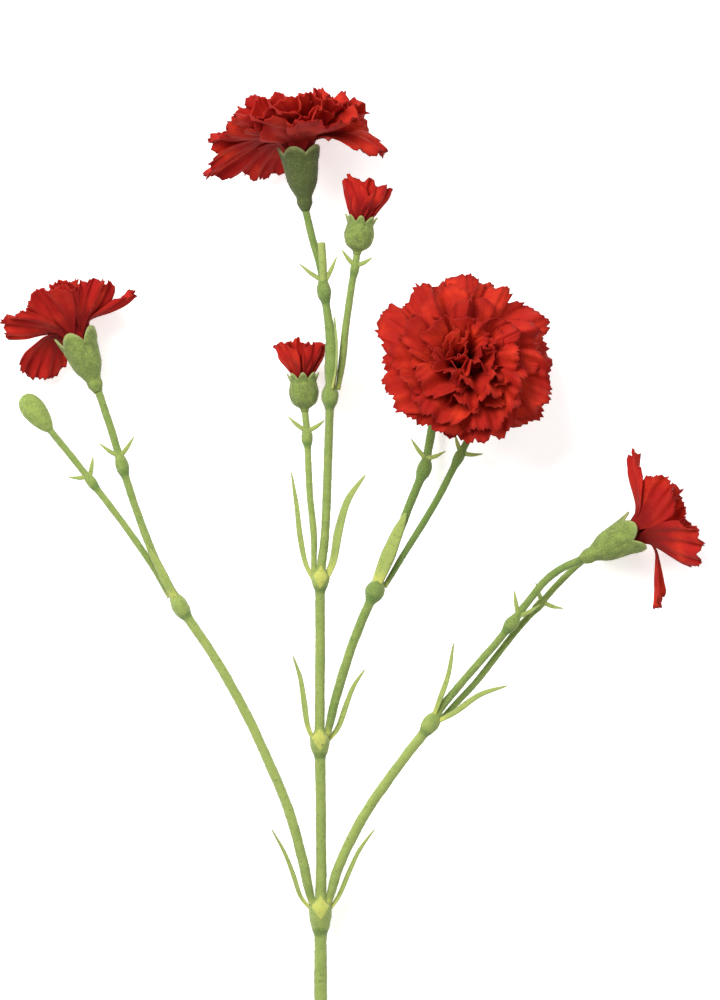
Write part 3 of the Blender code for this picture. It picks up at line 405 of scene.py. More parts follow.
def flocked(node, shells, finish, seed):
    """Joins the shells into the piece that stands for a node of the frame, and gives it its nap."""
    made = piece(node + "_moulding", joined(shells), finish)
    coat = made.modifiers.new("nap", "NODES")
    coat.node_group = stem_nap
    for socket in stem_nap.interface.items_tree:
        if socket.name == "Seed":
            coat[socket.identifier] = seed
        if socket.name == "Finish":
            coat[socket.identifier] = finish
    bpy.context.view_layer.update()
    graph = bpy.context.evaluated_depsgraph_get()
    napped = bpy.data.meshes.new_from_object(made.evaluated_get(graph))
    made.modifiers.remove(coat)
    made.data = napped
    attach(made, "root")
    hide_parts(node)


main_route = [
    (0.6, -110.0, 1.97, 2.05),
    (0.9, -80.0, 4.3, 2.0),
    (0.4, -50.0, 6.4, 2.0),
    (0.1, -22.0, 8.5, 1.95),
    (0.1, -0.7, 10.0, 1.75),
    (0.3, 13.5, 11.1, 1.55),
    (0.0, 43.5, 13.3, 1.6),
    (-0.2, 50.2, 13.8, 1.5),
    (-0.1, 62.0, 14.6, 1.5),
    (0.0, 80.0, 15.9, 1.5),
    (0.1, 98.9, 17.3, 1.4),
    (1.4, 110.0, 18.1, 1.3),
    (2.2, 128.0, 19.5, 1.3),
    (3.0, 152.7, 21.3, 1.3),
    (3.3, 161.0, 21.9, 2.0),
    (3.2, 170.0, 22.5, 1.6),
    (2.0, 179.0, 23.2, 1.2),
    (1.2, 184.0, 23.6, 1.2),
    (0.2, 191.0, 24.1, 1.15),
    (-2.3, 200.0, 24.8, 1.1),
    (-4.3, 208.4, 25.5, 1.1),
]
main_swellings = [
    fork(4, 3.55, 8.8, 1.95, 1.55),
    fork(7, 3.15, 6.2, 1.6, 1.5),
    fork(10, 2.85, 4.8, 1.5, 1.35),
    knot(13, 2.6, 3.4, 3.0, 1.35),
    knot(17, 2.15, 3.0, 3.2, 1.25),
]
# Painted shade: the main stem's green deepens towards its top, under the blooms' petals.
main_shade = ((0, 0.1), (0.38, 0.15), (0.6, 0.15), (0.8, 0.3), (1, 0.5))
main_shells = [
    stem(main_route, main_swellings, 1, main_shade, root=-1.0),
    leaf([(-2.9, -2, 9.6), (-6, 2, 9.3), (-8.2, 8.6, 10.2), (-10.8, 15.2, 11.2), (-14.6, 22.2, 12.6)], 1.9),
    leaf([(2.9, -2, 9.8), (5.7, 2.2, 9), (8.6, 9, 9), (11.8, 15.8, 9.8), (16.4, 22.2, 11.4)], 1.9),
    leaf([(-2.2, 49.4, 14), (-3.9, 54, 14.2), (-4.9, 61, 14.8), (-6, 68, 15.6), (-8.2, 74.6, 16.6)], 2.4),
    leaf([(2.2, 48.8, 13.2), (5.4, 53, 12), (7.8, 59.6, 11.9), (10, 65.2, 12.6), (13.4, 70.4, 14)], 2.2),
    leaf(
        [(-2, 97.4, 16.2), (-4.5, 102.8, 15.6), (-6.1, 111, 16.8), (-7.1, 120, 18.2), (-8.6, 129.8, 19.8)],
        2.3,
    ),
    leaf(
        [(1.8, 98, 17.4), (4, 103.5, 17.9), (5.6, 112.5, 18.7), (8.4, 121.6, 19.8), (13.6, 129, 21.4)],
        3.5,
    ),
    leaf([(3.6, 155, 22.8), (4.6, 161, 23.4), (4.9, 168, 23.8), (4.3, 176.4, 24.2)], 3.4, 75.0),
    bract((0.6, 187.4, 24.2), (-6.2, 192.4, 25.0)),
    bract((1.6, 187.4, 24.2), (5.0, 194.4, 25.0)),
    stem([(0.9, 186, 23.9, 1), (0.9, 191, 25, 1.15), (0.4, 198.6, 26.4, 1.2)], [], 2, root=-1.0),
]
flocked("main_stem", main_shells, stem_green, 1)

# ------------------------------------------------------------------ side branches and bud stems
#
# Thinner mouldings pushed into the forks, each with a joint of its own. They are a deeper green where they
# leave a fork, and darker near the blooms, which is painted shade from the petals over them. Each root and
# tip sits a little way inside its neighbour.


def branch(node, seed, route, knots, shade, leaves):
    """A side branch or a bud's stem, with its leaves and bracts."""
    flocked(node, [stem(route, knots, seed, shade), *leaves], stem_green, seed - 1)


branch(
    "left_branch",
    3,
    [
        (-2.3, -0.6, 10.2, 1.0),
        (-3.7, 5.0, 10.8, 1.4),
        (-5.4, 13.0, 11.1, 1.5),
        (-9.2, 27.0, 11.8, 1.5),
        (-16.6, 45.0, 12.8, 1.45),
        (-25.4, 63.0, 13.5, 1.45),
        (-34.4, 78.0, 14.0, 1.4),
        (-42.3, 89.6, 14.4, 1.4),
        (-47.2, 98.6, 14.7, 1.3),
        (-51.2, 107.4, 15.0, 1.2),
        (-55.0, 117.5, 15.3, 1.15),
        (-59.7, 132.0, 15.6, 1.15),
        (-63.3, 144.0, 15.8, 1.15),
        (-66.8, 154.3, 16.0, 1.15),
    ],
    [knot(7, 2.6, 4.2, 3.4, 1.4), knot(11, 2.1, 3.0, 2.8, 1.2)],
    ((0, 0.3), (0.15, 0.05), (0.5, 0.05), (0.7, 0.25), (1, 0.35)),
    [
        leaf([(-43.4, 91.4, 15.7), (-46.4, 97, 16.4), (-49, 102.4, 16.6), (-52.4, 108, 16.7)], 3.0, 15.0),
        bract((-60.4, 134.6, 16.1), (-66.5, 138.6, 16.8)),
        bract((-60.2, 134.6, 16.1), (-56.0, 140.6, 16.8)),
    ],
)

branch(
    "left_bud_stem",
    4,
    [
        (-45.4, 92.2, 13.0, 0.75),
        (-49.8, 100.4, 12.7, 0.95),
        (-54.4, 107.4, 12.9, 1.0),
        (-61.6, 117.4, 13.0, 1.0),
        (-69.0, 127.0, 13.1, 1.0),
        (-75.4, 135.2, 13.2, 1.0),
        (-81.6, 142.8, 13.2, 1.0),
    ],
    [knot(4, 1.65, 2.6, 2.2, 1.0)],
    ((0, 0.4), (0.3, 0.2), (1, 0.3)),
    [
        bract((-69.8, 128.6, 13.3), (-75.8, 128.4, 13.9)),
        bract((-69.4, 128.8, 13.3), (-68.4, 134.6, 13.9)),
    ],
)

branch(
    "right_branch",
    5,
    [
        (2.3, -0.6, 10.1, 1.0),
        (3.8, 5.0, 10.3, 1.4),
        (6.3, 12.6, 10.5, 1.5),
        (13.4, 26.6, 11.2, 1.55),
        (23.8, 41.6, 12.0, 1.5),
        (30.6, 50.4, 12.5, 1.5),
        (33.4, 54.2, 12.8, 1.4),
        (37.0, 59.6, 13.2, 1.2),
        (45.2, 69.4, 14.0, 1.15),
        (53.2, 78.6, 14.7, 1.15),
        (57.6, 84.2, 15.1, 1.15),
        (63.0, 91.4, 15.6, 1.15),
        (68.2, 97.6, 16.0, 1.15),
        (73.3, 101.2, 16.3, 1.15),
        (78.6, 103.6, 16.6, 1.15),
    ],
    [knot(6, 2.7, 3.8, 3.0, 1.4), knot(10, 2.1, 3.0, 2.6, 1.15)],
    ((0, 0.3), (0.1, 0.05), (0.48, 0.05), (0.53, 0.4), (0.7, 0.3), (1, 0.45)),
    [
        leaf([(33.8, 55.6, 13.6), (36, 61.4, 14.9), (38.6, 69, 15.8), (40.2, 78.4, 17)], 2.2),
        leaf([(35, 54.6, 13.4), (40.6, 57.6, 14.6), (48, 62.8, 15), (56.4, 65.6, 15.4)], 2.0, 20.0),
        bract((59.6, 87.0, 15.8), (58.4, 94.2, 16.6)),
        bract((60.0, 86.6, 15.8), (66.2, 90.0, 16.9)),
    ],
)

branch(
    "right_bud_stem",
    6,
    [
        (36.0, 55.0, 11.2, 0.75),
        (42.0, 61.2, 11.0, 0.95),
        (47.6, 67.3, 11.2, 1.0),
        (53.5, 74.9, 11.4, 1.0),
        (59.8, 82.9, 11.3, 1.0),
        (66.1, 89.8, 10.8, 1.0),
        (71.4, 95.8, 9.4, 1.0),
        (77.2, 101.4, 7.4, 1.0),
        (81.6, 104.8, 6.3, 1.0),
    ],
    [knot(5, 1.5, 2.4, 2.0, 1.0)],
    ((0, 0.5), (0.4, 0.3), (1, 0.4)),
    [
        bract((66.8, 91.0, 11.0), (65.0, 96.6, 11.4)),
        bract((67.2, 90.6, 11.0), (73.2, 88.8, 11.6)),
    ],
)

branch(
    "middle_branch",
    7,
    [
        (2.1, 50.4, 13.8, 0.95),
        (3.3, 56.0, 13.8, 1.3),
        (5.5, 64.6, 13.6, 1.4),
        (9.2, 76.4, 13.3, 1.4),
        (13.6, 87.6, 12.7, 1.4),
        (16.5, 94.0, 12.3, 1.4),
        (19.4, 101.6, 11.8, 1.35),
        (23.0, 110.0, 11.0, 1.3),
        (27.6, 121.6, 9.6, 1.3),
        (31.4, 131.0, 8.2, 1.3),
        (33.0, 139.0, 6.0, 1.3),
        (34.2, 145.6, 4.2, 1.3),
        (35.2, 151.0, 3.5, 1.3),
        (36.1, 154.6, 5.0, 1.3),
        (36.9, 156.7, 9.0, 1.3),
    ],
    [knot(5, 3.0, 3.2, 3.0, 1.45), knot(9, 2.3, 3.2, 2.8, 1.3)],
    # Painted shade: this branch deepens in green towards its end, under the large bloom.
    ((0, 0.45), (0.2, 0.3), (0.4, 0.4), (0.7, 0.65), (1, 0.8)),
    [
        leaf([(17, 96.2, 13.4), (19.6, 102.6, 13.6), (22.6, 110, 13), (25.8, 117.6, 12.2)], 4.6, 10.0),
        bract((31.6, 134.2, 8.4), (27.4, 140.0, 9.0)),
        bract((32.0, 134.0, 8.4), (37.8, 136.2, 9.0)),
    ],
)

branch(
    "middle_bud_stem",
    8,
    [
        (19.3, 95.2, 11.0, 0.75),
        (23.6, 102.4, 10.2, 0.95),
        (27.4, 108.6, 9.8, 1.0),
        (32.2, 116.4, 9.4, 1.05),
        (36.4, 123.6, 9.2, 1.05),
        (41.8, 134.4, 9.0, 1.05),
        (46.6, 143.6, 8.8, 1.05),
        (51.0, 152.3, 8.6, 1.05),
    ],
    [knot(5, 1.7, 2.8, 2.4, 1.05)],
    # Painted shade: this stem lies under the large bloom and is a deeper green for it.
    ((0, 0.55), (0.6, 0.65), (1, 0.8)),
    [
        bract((42.4, 135.8, 9.2), (40.6, 141.4, 9.8)),
        bract((42.8, 135.6, 9.2), (49.0, 135.4, 9.8)),
    ],
)

branch(
    "centre_bud_stem",
    9,
    [
        (-2.0, 98.6, 17.4, 0.8),
        (-1.85, 106.0, 17.6, 0.9),
        (-2.0, 112.5, 17.5, 1.0),
        (-3.2, 124.5, 17.0, 1.0),
        (-3.9, 140.4, 16.5, 1.0),
        (-4.6, 148.2, 16.2, 1.0),
    ],
    [knot(4, 1.8, 2.8, 2.4, 1.0)],
    ((0, 0.2), (1, 0.2)),
    [
        bract((-4.4, 142.4, 16.7), (-9.6, 146.6, 17.2)),
        bract((-3.6, 142.4, 16.7), (1.2, 145.4, 17.2)),
    ],
)

branch(
    "upper_bud_stem",
    10,
    [
        (5.3, 154.6, 21.0, 0.75),
        (6.7, 163.5, 21.4, 1.1),
        (7.8, 174.0, 22.0, 1.1),
        (9.5, 186.0, 22.8, 1.05),
        (10.5, 191.0, 23.2, 1.05),
        (11.1, 195.4, 23.5, 1.05),
    ],
    [knot(4, 1.45, 2.2, 1.6, 1.05)],
    ((0, 0.2), (1, 0.3)),
    [
        bract((10.3, 192.0, 23.6), (6.5, 196.6, 24.6)),
        bract((11.0, 192.0, 23.6), (15.6, 194.2, 24.6)),
    ],
)

# ------------------------------------------------------------------ calyxes and shut buds
#
# A calyx is a hollow green cup pushed on to its stem, with five round lobes under a bloom and eight
# pointed ones under an open bud. Its nap is darker than the stems' and blotched, and worn pale along the
# rim. A shut bud is the same stuff, solid, with its five lobes closed over the tip.

CALYX_SIDES = 144
CLOSED_BUD_SIDES = 60
BLOOM_LOBES, BUD_LOBES, CLOSED_LOBES = 5, 8, 5
LIP = ((-0.25, 0.12), (-0.62, -0.1))  # the rim's top and inner corner, from its outer one
SEAM_DEPTH, SEAM_WIDTH = 0.3, 0.4
RIM_WEAR = (0.1, 0.35, 0.8, 1.0, 0.8)  # from the foot of the lobes over the rim
CALYX_PALE = (0.34, 0.45, 0.10)
CALYX_DEEP = (0.066, 0.09, 0.02)
CALYX_WORN = (0.47, 0.53, 0.20)
CALYX_SPECK = (0.05, 0.12, 0.03)
CALYX_FIBRE = (0.50, 0.58, 0.25)


def calyx_finish(place):
    """The nap: deep and pale blotches, worn edges, light grain of single fibres and dark specks."""
    patches = place.noise(420.0, 3.0, 0.7)
    flock = place.noise(1700.0, 2.0, 0.6)
    grain = place.noise(4600.0, 2.0, 0.7)
    shade = place.attribute("shade")
    deepness = (shade + 0.7 * (patches - 0.5) + 0.85 * (flock - 0.5) + 0.5 * (grain - 0.5)).step(0.0, 1.0)
    colour = deepness.blend(CALYX_PALE, CALYX_DEEP)
    worn = (place.attribute("worn") + 0.7 * (patches - 0.5)).step(0.25, 0.95)
    colour = (0.6 * worn).blend(colour, CALYX_WORN)
    specks = place.noise(1500.0, 1.0, 0.5).step(0.66, 0.72)
    colour = (0.45 * specks).blend(colour, CALYX_SPECK)
    colour = (0.4 * (0.5 * grain + 0.5 * flock).step(0.5, 0.75)).blend(colour, CALYX_FIBRE)
    return {
        "Base Color": colour,
        "Roughness": 0.78 + 0.2 * grain,
        "Normal": (0.4 * grain + 0.4 * flock + 0.2 * patches).bump(0.8, 0.0003),
        "Specular IOR Level": 0.2,
        "Sheen Weight": 0.12,
        "Sheen Roughness": 0.6,
    }


calyx_green = material("calyx_flock", calyx_finish)


def head_matrix(base, direction):
    """Places a flower head whose local +Z runs along direction, with its base at the stem's end."""
    axis = Vector(direction).normalized()
    up = Vector((0, 0, 1)) if abs(axis.z) < 0.9 else Vector((0, 1, 0))
    side = up.cross(axis).normalized()
    turned = Matrix((side, axis.cross(side), axis)).transposed().to_4x4()
    return Matrix.Translation(Vector(base)) @ turned


def placed(points, matrix):
    rotation = np.array(matrix.to_3x3())
    return np.asarray(points) @ rotation.T + np.array(matrix.translation)


def lobed_cup(outer, inner, rim, lobes, lobe, flare, point, matrix, shade):
    """A calyx: outer rows of (radius, height) from the base up, a rim that rises by lobe into lobes and
    leans out by flare there, and the rows of its seat inside. The lobes are round where point is under 1."""
    angles = 2 * np.pi * np.arange(CALYX_SIDES) / CALYX_SIDES
    tip = np.abs(np.cos(lobes * angles / 2)) ** point
    outer = smooth_route([(*row, 0) for row in outer], 5)[:, :2]
    inner = smooth_route([(*row, 0) for row in inner], 3)[:, :2]
    columns = []
    for corner in np.stack([rim[0] + flare * tip, rim[1] + lobe * tip], axis=-1):
        rise = [outer[-1] + (corner - outer[-1]) * u for u in (0.33, 0.67, 1.0)]
        columns.append(np.vstack([outer, rise, corner + LIP, inner]))
    columns = np.array(columns)
    top, rows = len(outer), columns.shape[1]
    seam = SEAM_DEPTH * np.exp(-((tip / SEAM_WIDTH) ** 2))
    columns[:, :top, 0] -= seam[:, None] * np.clip(np.linspace(0, 1, top) * 1.8 - 0.9, 0, 1)
    east, north = columns[..., 0] * np.cos(angles)[:, None], columns[..., 0] * np.sin(angles)[:, None]
    points = placed(np.stack([east, north, columns[..., 1]], axis=-1).reshape(-1, 3), matrix)
    worn = np.zeros((CALYX_SIDES, rows))
    worn[:, top : top + len(RIM_WEAR)] = RIM_WEAR
    faces = []
    for k in range(CALYX_SIDES):
        a, b = k * rows, (k + 1) % CALYX_SIDES * rows
        faces += [(a + row, b + row, b + row + 1, a + row + 1) for row in range(rows - 1)]
    faces.append(tuple(k * rows for k in range(CALYX_SIDES))[::-1])
    faces.append(tuple(k * rows + rows - 1 for k in range(CALYX_SIDES)))
    return points, faces, {"worn": worn.ravel(), "shade": np.full(worn.size, shade)}


def bloom_calyx(matrix, shade, lobe=3.8):
    outer = [(1.25, 0.3), (2.3, 2.6), (2.4, 4.6), (4.2, 8.2), (5.0, 12.0), (5.5, 15.2)]
    seat, rim = [(4.9, 15.6), (2.2, 11.4)], (5.9, 19.8 - lobe)
    return lobed_cup(outer, seat, rim, BLOOM_LOBES, lobe, 0.7, 0.8, matrix, shade)


def bud_calyx(matrix, shade):
    outer = [(1.15, 0.3), (1.5, 1.4), (3.5, 2.9), (4.4, 5.4), (4.4, 7.2), (3.9, 9.4)]
    seat, rim = [(3.1, 9.4), (1.3, 7.2)], (3.9, 10.1)
    return lobed_cup(outer, seat, rim, BUD_LOBES, 1.9, 1.1, 1.3, matrix, shade)


def closed_bud(matrix, shade):
    """A shut bud, whose seams between the lobes start half way up and fade at its tip."""
    profile = [(1.05, 0.3), (1.9, 1.6), (2.9, 4.0), (3.55, 7.2), (3.6, 9.2), (3.1, 11.4), (1.9, 13.0)]
    profile = smooth_route([(*row, 0) for row in [*profile, (0.3, 13.6)]], 4)[:, :2]
    share = (distances(profile) / distances(profile)[-1])[:, None]
    angles = 2 * np.pi * np.arange(CLOSED_BUD_SIDES) / CLOSED_BUD_SIDES
    seam = np.exp(-((np.cos(CLOSED_LOBES * angles / 2) / 0.3) ** 2)) * np.clip(share * 2 - 0.8, 0, 1)
    radii = profile[:, :1] - 0.2 * seam * (1 - share**8)
    heights = np.broadcast_to(profile[:, 1:], radii.shape)
    points = np.stack([radii * np.cos(angles), radii * np.sin(angles), heights], axis=-1)
    rows, count = radii.shape
    faces = [(a, b, b + count, a + count) for a, b in cells(rows, count)]
    faces.append(tuple(range(count))[::-1])
    faces.append(tuple(range((rows - 1) * count, rows * count)))
    values = {"worn": 0.3 * seam.ravel(), "shade": np.full(seam.size, shade)}
    return placed(points.reshape(-1, 3), matrix), faces, values


LARGE_HEAD = head_matrix((37.05, 156.75, 9.0), (0.29, 0.27, 1.0))
TOP_HEAD = head_matrix((-4.3, 207.9, 25.5), (-0.10, 1.0, 0.03))
LEFT_HEAD = head_matrix((-66.7, 153.7, 16.0), (-0.36, 0.92, 0.02))
RIGHT_HEAD = head_matrix((78.1, 103.3, 16.6), (0.89, 0.45, 0.0))
UPPER_BUD_HEAD = head_matrix((11.0, 194.9, 23.5), (0.12, 1.0, 0.04))
CENTRE_BUD_HEAD = head_matrix((-4.6, 147.7, 16.2), (-0.05, 1.0, -0.02))
LEFT_CLOSED_BUD = head_matrix((-81.2, 142.3, 13.2), (-0.62, 0.78, 0.0))
RIGHT_CLOSED_BUD = head_matrix((81.3, 104.6, 6.3), (0.82, 0.55, -0.10))
MIDDLE_CLOSED_BUD = head_matrix((50.7, 151.7, 8.6), (0.35, 0.93, 0.0))

green_heads = (
    ("large_bloom_calyx", bloom_calyx(LARGE_HEAD, 0.5)),
    ("top_bloom_calyx", bloom_calyx(TOP_HEAD, 0.95, 2.4)),
    ("left_bloom_calyx", bloom_calyx(LEFT_HEAD, 0.52)),
    ("right_bloom_calyx", bloom_calyx(RIGHT_HEAD, 0.5, 3.0)),
    ("upper_bud_calyx", bud_calyx(UPPER_BUD_HEAD, 0.5)),
    ("centre_bud_calyx", bud_calyx(CENTRE_BUD_HEAD, 0.55)),
    ("left_closed_bud", closed_bud(LEFT_CLOSED_BUD, 0.3)),
    ("right_closed_bud", closed_bud(RIGHT_CLOSED_BUD, 0.2)),
    ("middle_closed_bud", closed_bud(MIDDLE_CLOSED_BUD, 0.4)),
)
for seed, (node, shell) in enumerate(green_heads, 20):
    flocked(node, [shell], calyx_green, seed)

# ------------------------------------------------------------------ cloth petals
#
# Each petal is cut from thin red cloth with a pinked edge, pressed with creases that fan out from its
# claw, and ruffled. Its claw is glued in the calyx's seat. The upper face is the brighter red, and the
# cloth is a little darker along its cut edge. The creases and each petal's throat are darkened with
# painted shade, and lighter clouds of painted highlight lie over the cloth.

PETAL_THICKNESS = 0.28
PETAL_FLOOR = 0.36  # the middle of a petal's sheet stays this far over the table
PETAL_SOFTNESS = 0.4
TEETH = 16
ROWS = 26
BASE_LEAN = 8.0  # degrees that a claw leans from the axis
CLAW = 0.9  # half width of a petal at its root
SEAT_REACH = 4.6  # nearer the axis than this, a petal stands in the calyx's seat
SEAT_BLEND = 0.8
LOBE_REACH = 7.0  # past this from the axis, a limb may sink by LOBE_FALL a millimetre
LOBE_FALL = 2.6
LOBE_SOFTNESS = 0.5
BLOOM_LOBE_TOP = 21.3
BUD_LOBE_TOP = 0.0
# Shares of a petal's length, from its claw: where each quarter of the rows ends, and where it widens,
# folds, leaves its claw, curls and turns.
ROW_PLACES = (0, 0.2, 0.42, 0.72, 1)
FAN_START, FAN_LENGTH = 0.08, 0.84
FOLD_START, FOLD_LENGTH = 0.2, 0.8
LIMB_START = 0.42
CURL_START = 0.5
TWIST_LENGTH = 0.6
NOTCH = 0.05
PLEATS = 1.0
OVERLAP_TWIST = 16.0
FACE_RED = (0.44, 0.016, 0.009)
BACK_RED = (0.44, 0.013, 0.010)
CREASE_SHADE_AND_TONE_RED = (0.24, 0.005, 0.005)
# the red of the painted highlight
HIGHLIGHT_RED = (0.88, 0.06, 0.018)
THROAT_SHADE_RED = (0.13, 0.003, 0.004)
EDGE_RED = (0.17, 0.004, 0.004)


def petal_finish(place):
    """The cloth: veins from the claw with painted shade in their creases, painted highlight clouds, painted
    shade in the throat and a dark cut edge.
    """
    across, along, side = place.attribute("cloth", 1).parts()
    tone = place.attribute("tone")
    fan = place.node("ShaderNodeCombineXYZ", {0: across * 7.0, 1: along * 0.9, 2: tone * 40.0})
    veins = fan.noise(1.0, 3.0, 0.6)
    creases = fan.noise(2.6, 2.0, 0.5)
    cloud = place.noise(140.0, 2.0, 0.5)
    grain = place.noise(6500.0, 2.0, 0.6)
    colour = side.blend(BACK_RED, FACE_RED)
    # Painted shade in the pressed creases, with each petal's own tone a little darker or lighter at random.
    colour = (0.22 * veins.step(0.40, 0.75) + 0.45 * (tone - 0.35)).blend(colour, CREASE_SHADE_AND_TONE_RED)
    # Painted highlight: clouds of brighter red over the cloth.
    highlight_patches = (0.6 * cloud + 0.4 * grain).step(0.44, 0.70)
    colour = (0.6 * highlight_patches).blend(colour, HIGHLIGHT_RED)
    # Painted shade: each petal darkens towards its claw, deep in the bloom.
    colour = (0.7 * (1 - along.step(0.2, 0.75))).blend(colour, THROAT_SHADE_RED)
    edge = (along + 0.04 * (creases - 0.5)).step(0.92, 1.0)
    colour = (0.4 * edge).blend(colour, EDGE_RED)
    return {
        "Base Color": colour,
        "Roughness": 0.6 + 0.25 * grain,
        "Normal": (0.55 * veins + 0.3 * creases + 0.12 * grain).bump(0.6, 0.0006),
        "Specular IOR Level": 0.12,
        "Sheen Weight": 0.06,
        "Sheen Roughness": 0.4,
        "Sheen Tint": (1.0, 0.25, 0.15),
    }


petal_red = material("petal_cloth", petal_finish)

Petal = namedtuple(
    "Petal", "azimuth ring rise length half lean curl cup ruffle waves phase twist bend lobes oval"
)
# azimuth: place round the axis in degrees; ring, rise: radius and height of the root in the head;
# length, half: flat length and half width; lean: angle of the limb from the axis in degrees; curl: what
# the tip adds to it; cup: how far the sides stand in, as a share of half; ruffle, waves, phase: depth,
# count and start of the folds; twist: turn of the limb about its rib in degrees; bend: how far the tip
# swings sideways; lobes: height at which the limb passes over the calyx's lobes; oval: 0 for a limb that
# widens like a fan, 1 for an oval one


def margins(petal, t):
    """Length of the petal at t across it, -1 to 1, as a share: of its smooth outline, and as it is cut,
    a little wavy and into uneven teeth."""
    outline = 1 - 0.15 * t**2 - 0.13 * t**4
    outline = outline + petal.oval * (0.4 + 0.6 * np.sqrt(1 - np.clip(t**2, 0, 1)) - outline)
    outline = outline + 0.03 * np.sin(3.1 * t + petal.phase) * (1 - t**2)
    saw = 2 * np.abs((t * TEETH / 2 + 0.25 * math.sin(petal.phase)) % 1 - 0.5)
    depth = 0.55 + 0.45 * np.sin(11.3 * t + 5.1 * petal.phase) * np.sin(5.7 * t + 2.3 * petal.phase)
    depth = depth * (1 - 0.5 * petal.oval)
    slow = 0.022 * np.sin(8.2 * t + 3.7 * petal.phase) + 0.014 * np.sin(15.1 * t + 1.9 * petal.phase)
    return outline, outline + slow - NOTCH * depth * (1 - saw)


def petal_sheet(petal):
    """Middle of the petal's sheet, as a grid of points in the flower head's frame, and the places of its
    rows and columns on the flat cloth."""
    s = np.interp(np.linspace(0, 1, ROWS + 1), np.linspace(0, 1, len(ROW_PLACES)), ROW_PLACES)[:, None]
    t = np.linspace(-1, 1, 2 * TEETH + 1) - 0.5 * math.sin(petal.phase) / TEETH
    t = np.clip(t, -1, 1)[None, :]
    outline, cut = margins(petal, t)
    reach = s * (outline + (cut - outline) * s**6)
    fan = np.clip((reach - FAN_START) / FAN_LENGTH, 0, 1)
    fold = np.clip((reach - FOLD_START) / FOLD_LENGTH, 0, 1)
    x = (CLAW + (petal.half - CLAW) * np.sin(fan * math.pi / 2) ** (0.9 - 0.5 * petal.oval)) * t

    rib = np.linspace(0, 1.15, 116)  # past 1, since the waves of the margin reach a little further
    bent = np.clip(rib / LIMB_START, 0, 1)
    lean = BASE_LEAN + (petal.lean - BASE_LEAN) * bent**2 * (3 - 2 * bent)
    lean = np.radians(lean + petal.curl * np.clip(rib - CURL_START, 0, 1) / (1 - CURL_START))
    step = petal.length * (rib[1] - rib[0])
    out = petal.ring + step * np.concatenate([[0], np.cumsum(np.sin(lean))[:-1]])
    up = petal.rise + step * np.concatenate([[0], np.cumsum(np.cos(lean))[:-1]])
    out_at, up_at, lean_at = (np.interp(reach, rib, row) for row in (out, up, lean))

    waves = np.sin(math.pi * petal.waves * t + petal.phase + 0.8 * fold)
    small = np.sin(math.pi * 2.7 * petal.waves * t + 2.3 * petal.phase + 3.0 * fold)
    finest = np.sin(math.pi * 5.3 * petal.waves * t + 4.1 * petal.phase - 2.0 * fold)
    lift = petal.ruffle * fold**1.3 * waves + PLEATS * (fold**1.6 * small + 0.6 * fold**4 * finest)
    lift = lift + petal.cup * petal.half * t**2 * fold
    turn = math.radians(petal.twist) * np.clip(reach / TWIST_LENGTH, 0, 1)
    x, lift = x * np.cos(turn) - lift * np.sin(turn), x * np.sin(turn) + lift * np.cos(turn)
    x = x + petal.bend * fold**2

    radial = out_at - np.cos(lean_at) * lift
    axial = up_at + np.sin(lean_at) * lift
    spread = np.hypot(radial, x)
    lowest = petal.lobes - LOBE_FALL * np.maximum(spread - LOBE_REACH, 0)
    above = axial - lowest
    lifted = lowest + 0.5 * (above + np.sqrt(above**2 + LOBE_SOFTNESS**2))
    axial = axial + (lifted - axial) * np.clip((spread - SEAT_REACH) / SEAT_BLEND, 0, 1)

    place = math.radians(petal.azimuth)
    east = radial * math.cos(place) - x * math.sin(place)
    north = radial * math.sin(place) + x * math.cos(place)
    share = np.broadcast_to(s, reach.shape)
    return np.stack([east, north, axial], axis=-1), share, np.broadcast_to(t, reach.shape)


def petal_blade(petal, matrix, tone):
    """One petal as a thin closed blade that bends to lie on the table where it would sink into it."""
    flat, share, t = petal_sheet(petal)
    grid = placed(flat.reshape(-1, 3), matrix).reshape(flat.shape)
    over = grid[..., 2] - PETAL_FLOOR
    bent = PETAL_FLOOR + 0.5 * (over + np.sqrt(over**2 + PETAL_SOFTNESS**2))
    grid[..., 2] = np.where(over > 6 * PETAL_SOFTNESS, grid[..., 2], bent)
    normals = np.cross(np.gradient(grid, axis=0), np.gradient(grid, axis=1))
    normals /= np.linalg.norm(normals, axis=-1)[..., None]
    offset = normals * PETAL_THICKNESS / 2
    points = np.concatenate([(grid + offset).reshape(-1, 3), (grid - offset).reshape(-1, 3)])
    points[:, 2] = np.maximum(points[:, 2], 0.0)
    across, along = 2 * TEETH, ROWS
    columns, under = across + 1, (across + 1) * (along + 1)
    faces = []
    for i in range(along):
        for j in range(across):
            a, b = i * columns + j, i * columns + j + 1
            faces.append((a, a + columns, b + columns, b))
            faces.append((a + under, b + under, b + columns + under, a + columns + under))
    loop = list(range(columns))
    loop += [i * columns + across for i in range(1, along + 1)]
    loop += [along * columns + j for j in range(across - 1, -1, -1)]
    loop += [i * columns for i in range(along - 1, 0, -1)]
    faces += [(a, b, b + under, a + under) for a, b in zip(loop, loop[1:] + loop[:1])]
    flat_place = [np.tile(t.ravel(), 2), np.tile(share.ravel(), 2), np.repeat([1.0, 0.0], under)]
    return points, faces, {"cloth": np.stack(flat_place, axis=-1), "tone": np.full(2 * under, tone)}


